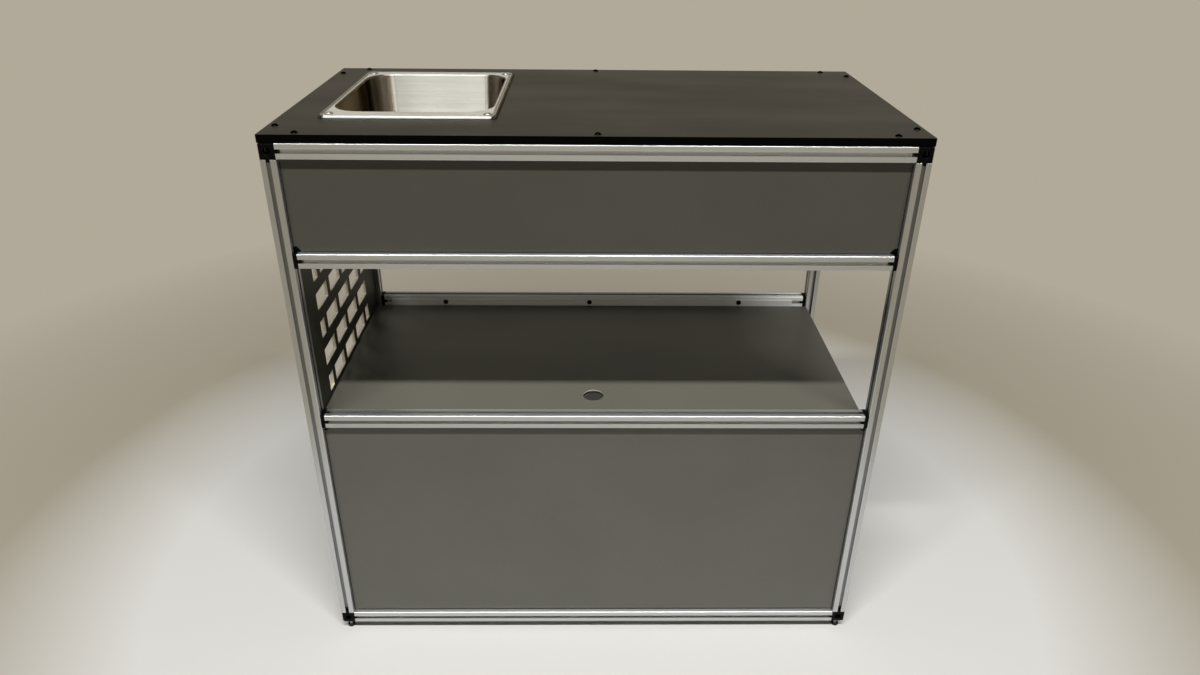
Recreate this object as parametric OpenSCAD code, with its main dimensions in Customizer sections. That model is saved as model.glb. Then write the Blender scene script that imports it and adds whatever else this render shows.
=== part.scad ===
// Camper sink cabinet: a frame of slotted aluminium bar with black corner cubes,
// laminate panels held in the slots, a black worktop with a drop-in steel sink,
// a loose lid over the lower compartment and four levelling feet.
// Origin: middle of the footprint, on the surface that the feet stand on. +Z is up, the front faces -Y.

/* [Frame] */
// Width of the frame over the corner cubes
frame_w = 1016; // [800:1:1300]
// Depth of the frame over the corner cubes
frame_d = 520.7; // [460:0.1:700]
// Height of the frame from the underside of the bottom cubes to the top of the top cubes
frame_h = 977.9; // [900:0.1:1200]
// Height of the top of the upper front rail above the underside of the bottom cubes
upper_rail_z = 800.1; // [740:0.1:830]
// Height of the top of the two shelf rails above the underside of the bottom cubes
shelf_rail_z = 495.3; // [300:0.1:520]

/* [Slotted bar] */
// Side of the square bar
bar = 25.4; // [24:0.1:30]
// Radius on the four long edges of the bar
bar_edge_r = 1.2; // [0.5:0.1:2]
// Width of the mouth of a slot
slot_mouth = 6.5; // [5:0.1:8]
// Thickness of the lips beside a slot
slot_lip = 2.2; // [1.5:0.1:2.6]
// Widest part of a slot, behind the lips
slot_inside = 14; // [12:0.1:14.5]
// Height of the straight sides of a slot, behind the lips
slot_side = 1.5; // [1:0.1:1.8]
// Width of the floor of a slot
slot_floor = 7; // [6:0.1:8]
// Depth of a slot below the face of the bar
slot_depth = 6.6; // [6:0.1:7]
// Bore through the core of the bar
core_d = 5.1; // [4:0.1:6]

/* [Corner cubes and end connectors] */
// Radius on the outer edges of a cube
cube_edge_r = 3.5; // [1:0.1:4]
// Access bore in each outer face of a cube
cube_access_d = 11.5; // [10.6:0.1:12.5]
// Thickness of a cube's wall under a screw head
cube_seat_t = 4.5; // [4:0.1:5]
// Length of the tongues that a cube pushes into the posts
post_tongue = 11; // [4:0.5:16]
// Length of the tongues that a cube or a connector pushes into the rails
rail_tongue = 5; // [3:0.5:10]
// Thickness of an end connector between a rail and a post
connector_t = 6.5; // [4:0.1:10]
// Length of the plug that a connector pushes into the core of its rail
connector_plug = 18; // [8:1:40]
// Height of the hook that a connector slides into the slot of its post
connector_hook = 18; // [10:1:22]

/* [Panels] */
// Thickness of the panels that stand in the slots
panel_t = 6; // [4:0.1:6.2]
// How far a panel reaches into a slot
panel_grip = 6; // [3:0.1:6.2]
// Radius of the corner cut beside a cube
cube_relief = 11; // [9.5:0.5:16]
// Radius of the corner cut beside an end connector
connector_relief = 19; // [14:0.5:26]

/* [Side panel pattern] */
// Width of a cutout
cutout_w = 66; // [40:1:70]
// Height of a cutout
cutout_h = 32; // [20:1:36]
// Web between two cutouts of a row
cutout_web_w = 16; // [8:1:20]
// Web between two rows
cutout_web_h = 23.2; // [10:0.1:26]
// Full cutouts in a plain row
cutout_count = 4; // [2:1:4]
// Rows of cutouts
cutout_rows = 6; // [2:1:6]
// Lowest cutout above the top of the lid
cutout_rise = 7; // [2:1:40]
// Corner radius of a cutout
cutout_r = 1.5; // [1:0.5:5]

/* [Worktop] */
// Thickness of the worktop
top_t = 12.7; // [9:0.1:20]
// Corner radius of the worktop in plan
top_corner_r = 1.5; // [1:0.5:6]
// Distance of the outer worktop screws from the ends
top_screw_end = 54.6; // [40:0.1:90]
// Distance of the side worktop screws from the front and the rear edges
top_screw_side = 54; // [40:0.1:90]
// Diameter of a screw's shank
screw_d = 6; // [4:0.1:6.2]
// Diameter of a button head
head_d = 11; // [8:0.1:12]
// Height of a button head
head_h = 3.2; // [2:0.1:4]

/* [Lid] */
// Thickness of the lid
lid_t = 6.35; // [4:0.05:9]
// Step from the top of the shelf rails down to the top of the lid
lid_step = 19.05; // [10:0.05:20]
// Gap from the lid to the cleats' upright legs, front and rear
lid_gap = 5; // [4.8:0.1:10]
// Gap from the lid to the side panel at its left end
lid_left_gap = 1.8; // [1:0.1:5]
// Gap from the lid's right end to the inner face of the right posts
lid_right_gap = 0; // [0:0.5:20]
// Diameter of the finger hole
finger_d = 38.1; // [25:0.1:60]
// Corner radius of the lid in plan
lid_corner_r = 2; // [0.5:0.5:10]
// Centre of the finger hole behind the lid's front edge
finger_back = 69; // [40:1:120]
// Height of the lid's underside over the cleats
lid_seat = 0.2; // [0.1:0.1:1]

/* [Cleats] */
// Thickness of the angle
cleat_t = 3.2; // [2:0.1:5]
// Width of the angle's two legs
cleat_leg = 22.2; // [18:0.1:24]
// Distance of a cleat's left end from the left side of the frame
cleat_end = 49.5; // [36:0.5:120]
// Distance of the outer cleat screws from the lid's middle
cleat_pitch = 333; // [150:0.5:340]
// How far the middle cleat screws stand to the left of the lid's middle
cleat_mid = 7; // [0:0.5:20]

/* [Sink] */
// Width of the bowl at its mouth
bowl_w = 258; // [200:1:300]
// Depth of the bowl's mouth, front to back
bowl_d = 306; // [240:1:310]
// Width of the rim left and right of the bowl
rim_side = 14; // [13:0.5:30]
// Width of the rim in front of the bowl
rim_front = 36; // [20:0.5:40]
// Width of the rim behind the bowl
rim_rear = 23; // [20:0.5:30]
// Centre of the sink from the left side of the frame
sink_x = 205.2; // [190:0.1:300]
// Distance of the rim from the front of the frame
sink_front = 100; // [60:0.5:104]
// Depth of the bowl below the flange
bowl_deep = 150; // [100:1:160]
// Draw-in of the bowl's walls from mouth to floor
bowl_taper = 6; // [0:0.5:20]
// Corner radius of the bowl in plan
bowl_r = 45; // [36:1:70]
// Radius between the bowl's walls and its floor
bowl_floor_r = 22; // [8:1:28]
// Thickness of the steel
steel_t = 1.2; // [0.8:0.1:1.5]
// Radius of the rolled rim
bead_r = 4.4; // [4:0.1:5]
// Corner radius of the rim in plan
flange_r = 12; // [11:1:30]
// Thickness of the foam gasket under the flange
gasket_t = 2.6; // [1.5:0.1:3]
// Distance of the sink screws from the sides of the rim
sink_screw_side = 16; // [15:0.5:20]
// Distance of the front sink screws from the front of the rim
sink_screw_front = 18; // [16:0.5:24]
// Distance of the rear sink screws from the rear of the rim
sink_screw_rear = 17; // [16:0.5:20]
// Diameter of a sink screw's domed head
sink_head_d = 12; // [9:0.1:12]
// Height of a sink screw's head
sink_head_h = 2.8; // [2:0.1:3.5]
// Diameter of a sink screw's shank
sink_shank_d = 4; // [2.5:0.1:5]
// Length of a sink screw
sink_screw_l = 14; // [10:0.5:15]

/* [Drain] */
// Hole in the floor of the bowl
drain_d = 50; // [44:0.5:70]
// Width of the strainer's flange beyond the hole
drain_flange = 9; // [5:0.5:16]
// Depth of the strainer cup below the bowl's floor
cup_deep = 20; // [16:0.5:26]
// Outer diameter of the tailpiece
tail_d = 38; // [30:0.5:40]
// Wall of the tailpiece and the strainer
tail_wall = 1.6; // [1.2:0.1:3]
// Length of the tailpiece below the strainer's spigot
tail_l = 26; // [20:0.5:30]

/* [Feet] */
// Height of the frame over the floor
foot_h = 19; // [12:0.5:30]
// Diameter of a foot's pad
pad_d = 14; // [12:0.5:24]
// Height of a foot's pad
pad_h = 5; // [3:0.5:8]
// Diameter of a foot's stud
stud_d = 6; // [4:0.1:8]
// Length of the threaded bush in each bottom cube
bush_l = 6.8; // [4:0.1:6.9]
// How far a foot can screw in before its stud meets the screw in the cube
foot_up = 6; // [2:0.5:6]

/* [Clearances] */
// Side gap of a tongue, nut or hook in a slot
slot_fit = 0.2; // [0.1:0.05:0.3]
// Gap round a screw's shank in a clearance hole
hole_fit = 0.25; // [0.1:0.05:0.5]
// Radial gap of a plug, stud or shank that turns or is driven home
close_fit = 0.05; // [0.02:0.01:0.06]
// Gap round the sink bowl in the worktop
bowl_fit = 2; // [1.5:0.1:2.5]

/* [Hidden] */

$fn = 48;
cut = 1;                       // how far a cutting solid runs past a face
left = -1;
right = 1;
front = -1;
rear = 1;
bottom = -1;
top = 1;

half_w = frame_w / 2;
half_d = frame_d / 2;
half_bar = bar / 2;
post_x = half_w - half_bar;
post_y = half_d - half_bar;
base_z = foot_h;
frame_top = base_z + frame_h;
top_rail_z = frame_top - half_bar;
bottom_rail_z = base_z + half_bar;
upper_rail_c = base_z + upper_rail_z - half_bar;
shelf_top = base_z + shelf_rail_z;
shelf_rail_c = shelf_top - half_bar;
mid_rail_half = half_w - bar - connector_t;

mid_z = base_z + frame_h / 2;
slot_bottom = half_bar - slot_depth;
tongue_w = slot_mouth - 2 * slot_fit;
tongue_h = slot_depth - 2 * slot_fit;
seat = half_bar - cube_seat_t;
cube_head_d = cube_access_d - 1.5;
cube_head_h = 3;
cube_screw_l = 22;
cube_shank_d = core_d - 2 * close_fit;

cleat_top = shelf_top - lid_step - lid_t - lid_seat;
cleat_back = half_d - bar;
lid_rear = cleat_back - cleat_t - lid_gap;
lid_left = -post_x + panel_t / 2 + lid_left_gap;
lid_right = half_w - bar - lid_right_gap;
lid_c = (lid_left + lid_right) / 2;
lid_top = shelf_top - lid_step;
cleat_half = lid_c + half_w - cleat_end;
cleat_xs = [for (x = [-cleat_pitch, -cleat_mid, cleat_pitch]) lid_c + x];

worktop_top = frame_top + top_t;
flange_z = worktop_top + gasket_t;
sink_w = bowl_w + 2 * rim_side;
sink_d = bowl_d + rim_front + rim_rear;
sink_cx = sink_x - half_w;
sink_cy = sink_front + sink_d / 2 - half_d;
bowl_cy = sink_cy + (rim_front - rim_rear) / 2;
rim_gap = 0.1;                 // left between the rolled rim and the worktop
rim_w = sink_w - 2 * bead_r;
rim_d = sink_d - 2 * bead_r;
rim_r = flange_r - bead_r;
bowl_floor = flange_z + steel_t - bowl_deep;
floor_under = bowl_floor - steel_t;
cup_r = drain_d / 2 - 0.5;
spigot_l = 8;
cup_bottom = bowl_floor - cup_deep;
spigot_r = tail_d / 2 - 1.5;
spigot_end = cup_bottom - spigot_l;
gasket_r = cup_r + drain_flange;
gasket_h = 3;
nut_inset = 1;                 // how far the locknut and the gasket stay inside the strainer's flange
locknut_h = 8;
locknut_z = floor_under - gasket_h - locknut_h;
collar_t = 4;
nut_over = 7;
neck_r = tail_d / 2 + 0.4;
collar_r = tail_d / 2 + 1.1;
nut_r = tail_d / 2 + 3.5;
nut_rib_r = 1.4;

stud_gap = 0.8;                // left over the stud when its foot is screwed right in
stud_top = base_z + half_bar + seat - cube_head_h - foot_up - stud_gap;
stud_foot = 1.5;

top_screw_points = concat(
    [for (sx = [-1 : 1], sy = [front, rear]) [sx * (half_w - top_screw_end), sy * post_y]],
    [for (sx = [left, right], sy = [front, rear]) [sx * post_x, sy * (half_d - top_screw_side)]]);
sink_screw_points = [for (sx = [left, right], y = [-sink_d / 2 + sink_screw_front, sink_d / 2 - sink_screw_rear])
    [sink_cx + sx * (sink_w / 2 - sink_screw_side), sink_cy + y]];

// Square with round corners, centred
module round_rect(w, d, r) {
    square([w - 2 * r, d], center = true);
    square([w, d - 2 * r], center = true);
    for (x = [-1, 1], y = [-1, 1])
        translate([x * (w / 2 - r), y * (d / 2 - r)])
            circle(r);
}

// Room behind the lips of the slot that opens towards +Y, less a gap all round
module slot_room(gap = 0) {
    lip_y = half_bar - slot_lip - gap;
    side_y = half_bar - slot_lip - slot_side;
    wide = slot_inside / 2 - gap;
    polygon([
        [-wide, lip_y], [wide, lip_y], [wide, side_y], [slot_floor / 2, slot_bottom + gap],
        [-slot_floor / 2, slot_bottom + gap], [-wide, side_y]]);
}

// One slot of the bar's section, open towards +Y
module slot_section() {
    slot_room();
    translate([-slot_mouth / 2, half_bar - slot_lip - cut])
        square([slot_mouth, slot_lip + 2 * cut]);
}

module bar_section() {
    difference() {
        round_rect(bar, bar, bar_edge_r);
        for (a = [0 : 90 : 270])
            rotate(a)
                slot_section();
        circle(d = core_d);
    }
}

// A length of bar along Z, X or Y, centred
module bar_z(length) {
    color("silver")
        linear_extrude(length, center = true)
            bar_section();
}

module bar_x(length) {
    rotate([90, 0, 90])
        bar_z(length);
}

module bar_y(length) {
    rotate([90, 0, 0])
        bar_z(length);
}

module post(sx, sy) {
    translate([sx * post_x, sy * post_y, mid_z])
        bar_z(frame_h - 2 * bar);
}

// Rail between two corner cubes, along X
module cube_rail(sy, z) {
    translate([0, sy * post_y, z])
        bar_x(frame_w - 2 * bar);
}

// Rail between two end connectors, along X
module mid_rail(sy, z) {
    translate([0, sy * post_y, z])
        bar_x(2 * mid_rail_half);
}

module side_rail(sx, z) {
    translate([sx * post_x, 0, z])
        bar_y(frame_d - 2 * bar);
}

// Tongue that fills the mouth of one slot of a bar along +X, in the slot that faces -Y
module tongue(length) {
    translate([0, -half_bar + slot_fit, -tongue_w / 2])
        cube([length, tongue_h, tongue_w]);
}

// Corner cube whose members leave towards +X, +Y and +Z, centred on its middle
module cube_body() {
    intersection_for (turn = [[0, 0, 0], [90, 0, 90], [0, -90, -90]])
        rotate(turn)
            linear_extrude(bar, center = true)
                union() {
                    translate([-half_bar + cube_edge_r, -half_bar])
                        square([bar - cube_edge_r, bar]);
                    translate([-half_bar, -half_bar + cube_edge_r])
                        square([bar, bar - cube_edge_r]);
                    translate([-half_bar + cube_edge_r, -half_bar + cube_edge_r])
                        circle(cube_edge_r);
                }
}

// Turns that carry something along +X to +X, +Y and +Z, each with its outer slots kept outward
module three_ways() {
    children();
    mirror([1, -1, 0])
        children();
    mirror([1, 0, -1])
        children();
}

module corner_cube() {
    color([0.07, 0.07, 0.075])
        difference() {
            union() {
                cube_body();
                for (swap = [0, 1])
                    mirror([0, swap, -swap])
                        translate([half_bar - cut, 0, 0])
                            tongue(rail_tongue + cut);
                mirror([1, -1, 0])
                    for (swap = [0, 1])
                        mirror([0, swap, -swap])
                            translate([half_bar - cut, 0, 0])
                                tongue(rail_tongue + cut);
                mirror([1, 0, -1])
                    for (swap = [0, 1])
                        mirror([0, swap, -swap])
                            translate([half_bar - cut, 0, 0])
                                tongue(post_tongue + cut);
            }
            three_ways() {
                translate([-half_bar - cut, 0, 0])
                    rotate([0, 90, 0])
                        cylinder(d = cube_access_d, h = half_bar + cut + seat);
                rotate([0, 90, 0])
                    cylinder(d = cube_shank_d + 2 * hole_fit, h = bar);
            }
        }
}

// Puts a corner piece in the corner named by three signs
module at_corner(sx, sy, sz) {
    z = sz > 0 ? top_rail_z : bottom_rail_z;
    translate([sx * post_x, sy * post_y, z])
        mirror([sx > 0 ? 1 : 0, 0, 0])
            mirror([0, sy > 0 ? 1 : 0, 0])
                mirror([0, 0, sz > 0 ? 1 : 0])
                    children();
}

// Domed head on the plane z = 0, with its shank below it
module dome_screw(length, shank, head, high) {
    dome_r = (pow(head / 2, 2) + pow(high, 2)) / (2 * high);
    intersection() {
        translate([0, 0, high - dome_r])
            sphere(dome_r);
        cylinder(d = head, h = high);
    }
    translate([0, 0, -length])
        cylinder(d = shank, h = length + cut);
}

// Button-head screw with a hexagon socket
module button_screw(length, shank = screw_d, head = head_d, high = head_h) {
    key_d = 0.68 * shank;
    key_deep = 1.6;
    difference() {
        dome_screw(length, shank, head, high);
        translate([0, 0, high - key_deep])
            cylinder(d = key_d, h = 2 * key_deep, $fn = 6);
    }
}

module cube_screws() {
    color([0.1, 0.1, 0.1])
        for (sx = [left, right], sy = [front, rear], sz = [bottom, top])
            at_corner(sx, sy, sz)
                three_ways()
                    translate([seat, 0, 0])
                        rotate([0, -90, 0])
                            button_screw(cube_screw_l, cube_shank_d, cube_head_d, cube_head_h);
}

// End connector for a rail that runs towards +X, with the post at its back; x = 0 is the post's face
module connector() {
    hook_t = slot_side - slot_fit;
    neck_t = slot_lip + slot_fit;
    color([0.06, 0.06, 0.065])
        union() {
            rotate([90, 0, 90])
                linear_extrude(connector_t)
                    round_rect(bar, bar, bar_edge_r);
            for (a = [0 : 90 : 270])
                rotate([a, 0, 0])
                    translate([connector_t - cut, 0, 0])
                        tongue(rail_tongue + cut);
            rotate([0, 90, 0])
                cylinder(d = core_d - 2 * close_fit, h = connector_t + connector_plug);
            translate([-neck_t, -tongue_w / 2, -connector_hook / 2])
                cube([neck_t + cut, tongue_w, connector_hook]);
            translate([-neck_t - hook_t, -slot_inside / 2 + slot_fit, -connector_hook / 2])
                cube([hook_t, slot_inside - 2 * slot_fit, connector_hook]);
        }
}

module connector_at(sx, sy, z) {
    translate([sx * (half_w - bar), sy * post_y, z])
        mirror([sx > 0 ? 1 : 0, 0, 0])
            connector();
}

// Flat panel in X and Y, centred, with a round cut at each corner: [lower, upper] radii
module slot_panel(w, h, low_relief, high_relief) {
    grip_w = w + 2 * panel_grip;
    grip_h = h + 2 * panel_grip;
    difference() {
        square([grip_w, grip_h], center = true);
        for (x = [-1, 1]) {
            translate([x * grip_w / 2, -grip_h / 2])
                circle(low_relief);
            translate([x * grip_w / 2, grip_h / 2])
                circle(high_relief);
        }
    }
}

module front_panel(z_low, z_high, low_relief, high_relief) {
    translate([0, -post_y, (z_low + z_high) / 2])
        rotate([90, 0, 0])
            linear_extrude(panel_t, center = true)
                slot_panel(frame_w - 2 * bar, z_high - z_low, low_relief, high_relief);
}

module panel_upper_front() {
    color([0.30, 0.29, 0.275])
        front_panel(upper_rail_c + half_bar, top_rail_z - half_bar, connector_relief, cube_relief);
}

module panel_lower_front() {
    color([0.34, 0.33, 0.315])
        front_panel(bottom_rail_z + half_bar, shelf_rail_c - half_bar, cube_relief, connector_relief);
}

// Brick pattern in X (front to back) and Y (up), centred in X, its first row on y = 0
module cutout_pattern() {
    pitch_w = cutout_w + cutout_web_w;
    pitch_h = cutout_h + cutout_web_h;
    whole = cutout_count * pitch_w - cutout_web_w;
    half_cut = (cutout_w - cutout_web_w) / 2;
    for (row = [0 : cutout_rows - 1])
        translate([-whole / 2, row * pitch_h + cutout_h / 2]) {
            if (row % 2 == 1)
                for (i = [0 : cutout_count - 1])
                    translate([i * pitch_w + cutout_w / 2, 0])
                        round_rect(cutout_w, cutout_h, cutout_r);
            else {
                for (i = [0 : cutout_count - 2])
                    translate([(i + 0.5) * pitch_w + cutout_w / 2, 0])
                        round_rect(cutout_w, cutout_h, cutout_r);
                for (x = [half_cut / 2, whole - half_cut / 2])
                    translate([x, 0])
                        round_rect(half_cut, cutout_h, cutout_r);
            }
        }
}

module panel_left() {
    color([0.22, 0.215, 0.20])
        translate([-post_x, 0, 0])
            rotate([90, 0, 90])
                linear_extrude(panel_t, center = true)
                    difference() {
                        translate([0, mid_z])
                            slot_panel(frame_d - 2 * bar, frame_h - 2 * bar, cube_relief, cube_relief);
                        translate([0, lid_top + cutout_rise])
                            cutout_pattern();
                    }
}

module floor_panel() {
    color([0.34, 0.33, 0.315])
        translate([0, 0, bottom_rail_z])
            linear_extrude(panel_t, center = true)
                slot_panel(frame_w - 2 * bar, frame_d - 2 * bar, cube_relief, cube_relief);
}

module worktop() {
    color([0.16, 0.16, 0.155])
        translate([0, 0, frame_top])
            difference() {
                linear_extrude(top_t)
                    difference() {
                        round_rect(frame_w, frame_d, top_corner_r);
                        translate([sink_cx, bowl_cy])
                            round_rect(bowl_w + 2 * bowl_fit, bowl_d + 2 * bowl_fit, bowl_r);
                    }
                for (p = top_screw_points)
                    translate([p[0], p[1], -cut])
                        cylinder(d = screw_d + 2 * hole_fit, h = top_t + 2 * cut);
                for (p = sink_screw_points)
                    translate([p[0], p[1], top_t + gasket_t + steel_t - sink_screw_l])
                        cylinder(d = sink_shank_d + 2 * close_fit, h = sink_screw_l);
            }
}

module worktop_screws() {
    reach = top_t + slot_depth - 3 * slot_fit;
    color([0.05, 0.05, 0.05])
        for (p = top_screw_points)
            translate([p[0], p[1], worktop_top])
                button_screw(reach);
}

// Nut in the slot that faces +Z of a bar along X whose centre is the origin
module slot_nut(shank) {
    nut_l = 13;
    difference() {
        rotate([90, 0, 90])
            linear_extrude(nut_l, center = true)
                slot_room(slot_fit);
        cylinder(d = shank + 2 * close_fit, h = bar);
    }
}

module slot_nuts() {
    color("dimgray") {
        for (p = top_screw_points)
            translate([p[0], p[1], top_rail_z])
                rotate(abs(p[0]) > half_w - bar ? 90 : 0)
                    slot_nut(screw_d);
        for (x = cleat_xs, sy = [front, rear])
            translate([x, sy * post_y, shelf_rail_c])
                rotate([sy * 90, 0, 0])
                    slot_nut(screw_d);
    }
}

// Angle against the inner face of a shelf rail, its flat leg under the lid
module cleat(sy) {
    color("silver")
        difference() {
            translate([lid_c, 0, 0])
                mirror([0, sy < 0 ? 1 : 0, 0])
                    rotate([90, 0, 90])
                        linear_extrude(2 * cleat_half, center = true)
                            polygon([
                                [cleat_back, cleat_top - cleat_t], [cleat_back, cleat_top - cleat_t + cleat_leg],
                                [cleat_back - cleat_t, cleat_top - cleat_t + cleat_leg],
                                [cleat_back - cleat_t, cleat_top], [cleat_back - cleat_leg, cleat_top],
                                [cleat_back - cleat_leg, cleat_top - cleat_t]]);
            for (x = cleat_xs)
                translate([x, sy * cleat_back, shelf_rail_c])
                    rotate([90, 0, 0])
                        cylinder(d = screw_d + 2 * hole_fit, h = 2 * cleat_leg, center = true);
        }
}

module cleat_screws() {
    reach = cleat_t + slot_depth - 3 * slot_fit;
    color([0.05, 0.05, 0.05])
        for (x = cleat_xs, sy = [front, rear])
            translate([x, sy * (cleat_back - cleat_t), shelf_rail_c])
                rotate([sy * 90, 0, 0])
                    button_screw(reach);
}

module lid() {
    color([0.36, 0.355, 0.33])
        translate([lid_c, 0, lid_top - lid_t])
            linear_extrude(lid_t)
                difference() {
                    round_rect(lid_right - lid_left, 2 * lid_rear, lid_corner_r);
                    translate([0, -lid_rear + finger_back])
                        circle(d = finger_d);
                }
}

// Solid bowl of the given outline with a round floor edge; z = 0 is its mouth
module bowl_form(w, d, r, deep, floor_r) {
    low_w = w - 2 * bowl_taper;
    low_d = d - 2 * bowl_taper;
    hull() {
        for (x = [-1, 1], y = [-1, 1]) {
            translate([x * (w / 2 - r), y * (d / 2 - r), -cut])
                cylinder(r = r, h = 2 * cut, $fn = 32);
            translate([x * (low_w / 2 - r), y * (low_d / 2 - r), -deep])
                rotate_extrude($fn = 32)
                    intersection() {
                        square([r, floor_r]);
                        translate([r - floor_r, floor_r])
                            union() {
                                circle(floor_r, $fn = 32);
                                translate([-r, -floor_r])
                                    square([r, floor_r]);
                            }
                    }
        }
    }
}

// Half-round ring on a rounded rectangle, lying on z = 0
module bead(w, d, r, section) {
    intersection() {
        union() {
            for (s = [-1, 1]) {
                translate([0, s * d / 2, 0])
                    rotate([0, 90, 0])
                        cylinder(r = section, h = w - 2 * r, center = true);
                translate([s * w / 2, 0, 0])
                    rotate([90, 0, 0])
                        cylinder(r = section, h = d - 2 * r, center = true);
            }
            for (i = [0 : 3])
                translate([(i == 0 || i == 3 ? 1 : -1) * (w / 2 - r), (i < 2 ? 1 : -1) * (d / 2 - r), 0])
                    rotate(i * 90)
                        rotate_extrude(angle = 90)
                            translate([r, 0])
                                circle(section);
        }
        translate([-w, -d, 0])
            cube([2 * w, 2 * d, 4 * section]);
    }
}

module sink_basin() {
    color([0.78, 0.78, 0.77])
        difference() {
            union() {
                translate([sink_cx, sink_cy, flange_z])
                    linear_extrude(steel_t)
                        round_rect(rim_w, rim_d, rim_r);
                translate([sink_cx, sink_cy, worktop_top + rim_gap])
                    bead(rim_w, rim_d, rim_r, bead_r);
                translate([sink_cx, bowl_cy, flange_z])
                    bowl_form(bowl_w + 2 * steel_t, bowl_d + 2 * steel_t, bowl_r + steel_t,
                              bowl_deep, bowl_floor_r + steel_t);
            }
            translate([sink_cx, bowl_cy, flange_z + steel_t])
                bowl_form(bowl_w, bowl_d, bowl_r, bowl_deep, bowl_floor_r);
            translate([sink_cx, bowl_cy, floor_under - cut])
                cylinder(d = drain_d, h = 4 * cut);
            for (p = sink_screw_points)
                translate([p[0], p[1], flange_z - cut])
                    cylinder(d = sink_shank_d + 2 * close_fit, h = 4 * cut);
        }
}

module sink_gasket() {
    inset = bead_r + 0.5;
    color([0.05, 0.05, 0.05])
        translate([0, 0, worktop_top])
            difference() {
                linear_extrude(gasket_t)
                    difference() {
                        translate([sink_cx, sink_cy])
                            round_rect(rim_w - 2 * inset, rim_d - 2 * inset, flange_r);
                        translate([sink_cx, bowl_cy])
                            round_rect(bowl_w + 2 * bowl_fit, bowl_d + 2 * bowl_fit, bowl_r);
                    }
                for (p = sink_screw_points)
                    translate([p[0], p[1], -cut])
                        cylinder(d = sink_shank_d + 2 * close_fit, h = 4 * cut);
            }
}

// Domed screws with a cross recess, on the flange
module sink_screws() {
    arm = 1.3;
    color("gainsboro")
        for (p = sink_screw_points)
            translate([p[0], p[1], flange_z + steel_t])
                difference() {
                    dome_screw(sink_screw_l, sink_shank_d, sink_head_d, sink_head_h);
                    for (a = [0, 90])
                        rotate(a)
                            translate([0, 0, sink_head_h])
                                cube([sink_head_d / 2, arm, 2 * arm], center = true);
                }
}

// Strainer cup with its flange on the bowl's floor and a spigot below
module drain_strainer() {
    in_r = cup_r - tail_wall;
    bore_r = spigot_r - tail_wall;
    holes = 6;
    hole_r = bore_r / 4;
    hole_ring = 0.58 * bore_r;
    flange_t = 1.4;
    flange_edge = 1;
    color([0.72, 0.72, 0.72])
        translate([sink_cx, bowl_cy, 0])
            difference() {
                rotate_extrude()
                    polygon([
                        [0, cup_bottom], [bore_r, cup_bottom], [bore_r, spigot_end], [spigot_r, spigot_end],
                        [spigot_r, cup_bottom], [cup_r, cup_bottom], [cup_r, bowl_floor],
                        [gasket_r, bowl_floor], [gasket_r - flange_edge, bowl_floor + flange_t],
                        [in_r + 2 * flange_edge, bowl_floor + flange_t], [in_r, bowl_floor - flange_edge],
                        [in_r, cup_bottom + tail_wall], [0, cup_bottom + tail_wall]]);
                for (i = [0 : holes - 1])
                    rotate(i * 360 / holes)
                        translate([hole_ring, 0, cup_bottom - cut])
                            cylinder(r = hole_r, h = 4 * cut);
                translate([0, 0, cup_bottom - cut])
                    cylinder(r = hole_r, h = 4 * cut);
            }
}

module drain_gasket() {
    color([0.08, 0.08, 0.08])
        translate([sink_cx, bowl_cy, floor_under - gasket_h])
            linear_extrude(gasket_h)
                difference() {
                    circle(gasket_r - nut_inset);
                    circle(cup_r + close_fit);
                }
}

module drain_locknut() {
    lugs = 8;
    lug = 5;
    color([0.15, 0.15, 0.15])
        translate([sink_cx, bowl_cy, locknut_z])
            linear_extrude(locknut_h)
                difference() {
                    union() {
                        circle(gasket_r - nut_inset);
                        for (i = [0 : lugs - 1])
                            rotate(i * 360 / lugs)
                                translate([gasket_r - 2 * nut_inset, -lug / 2])
                                    square([lug - nut_inset, lug]);
                    }
                    circle(cup_r + close_fit);
                }
}

// Hollow nut that draws the tailpiece up to the spigot
module drain_tail_nut() {
    ribs = 12;
    nut_low = spigot_end - nut_over;
    nut_h = cup_bottom - nut_low - cut;
    color([0.15, 0.15, 0.15])
        translate([sink_cx, bowl_cy, nut_low])
            difference() {
                union() {
                    cylinder(r = nut_r, h = nut_h);
                    for (i = [0 : ribs - 1])
                        rotate(i * 360 / ribs)
                            translate([nut_r, 0, 0])
                                cylinder(r = nut_rib_r, h = nut_h);
                }
                translate([0, 0, nut_over - collar_t])
                    cylinder(r = collar_r + close_fit, h = nut_h);
                translate([0, 0, -cut])
                    cylinder(r = neck_r + close_fit, h = nut_h);
            }
}

module drain_tailpiece() {
    color([0.88, 0.88, 0.86])
        translate([sink_cx, bowl_cy, spigot_end])
            rotate_extrude()
                polygon([
                    [tail_d / 2 - tail_wall, -tail_l], [tail_d / 2, -tail_l], [tail_d / 2, -nut_over],
                    [neck_r, -nut_over], [neck_r, -collar_t], [collar_r, -collar_t], [collar_r, 0],
                    [spigot_r - tail_wall, 0], [spigot_r - tail_wall, -collar_t / 2],
                    [tail_d / 2 - tail_wall, -collar_t]]);
}

module foot_bushes() {
    color("gray")
        for (sx = [left, right], sy = [front, rear])
            translate([sx * post_x, sy * post_y, base_z])
                difference() {
                    cylinder(d = cube_access_d - 2 * close_fit, h = bush_l);
                    translate([0, 0, -cut])
                        cylinder(d = stud_d + 2 * close_fit, h = bush_l + 2 * cut);
                }
}

module stud(sx, sy) {
    chamfer = 0.6;
    color("silver")
        translate([sx * post_x, sy * post_y, 0])
            rotate_extrude()
                polygon([
                    [0, stud_foot], [stud_d / 2, stud_foot], [stud_d / 2, stud_top - chamfer],
                    [stud_d / 2 - chamfer, stud_top], [0, stud_top]]);
}

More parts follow.
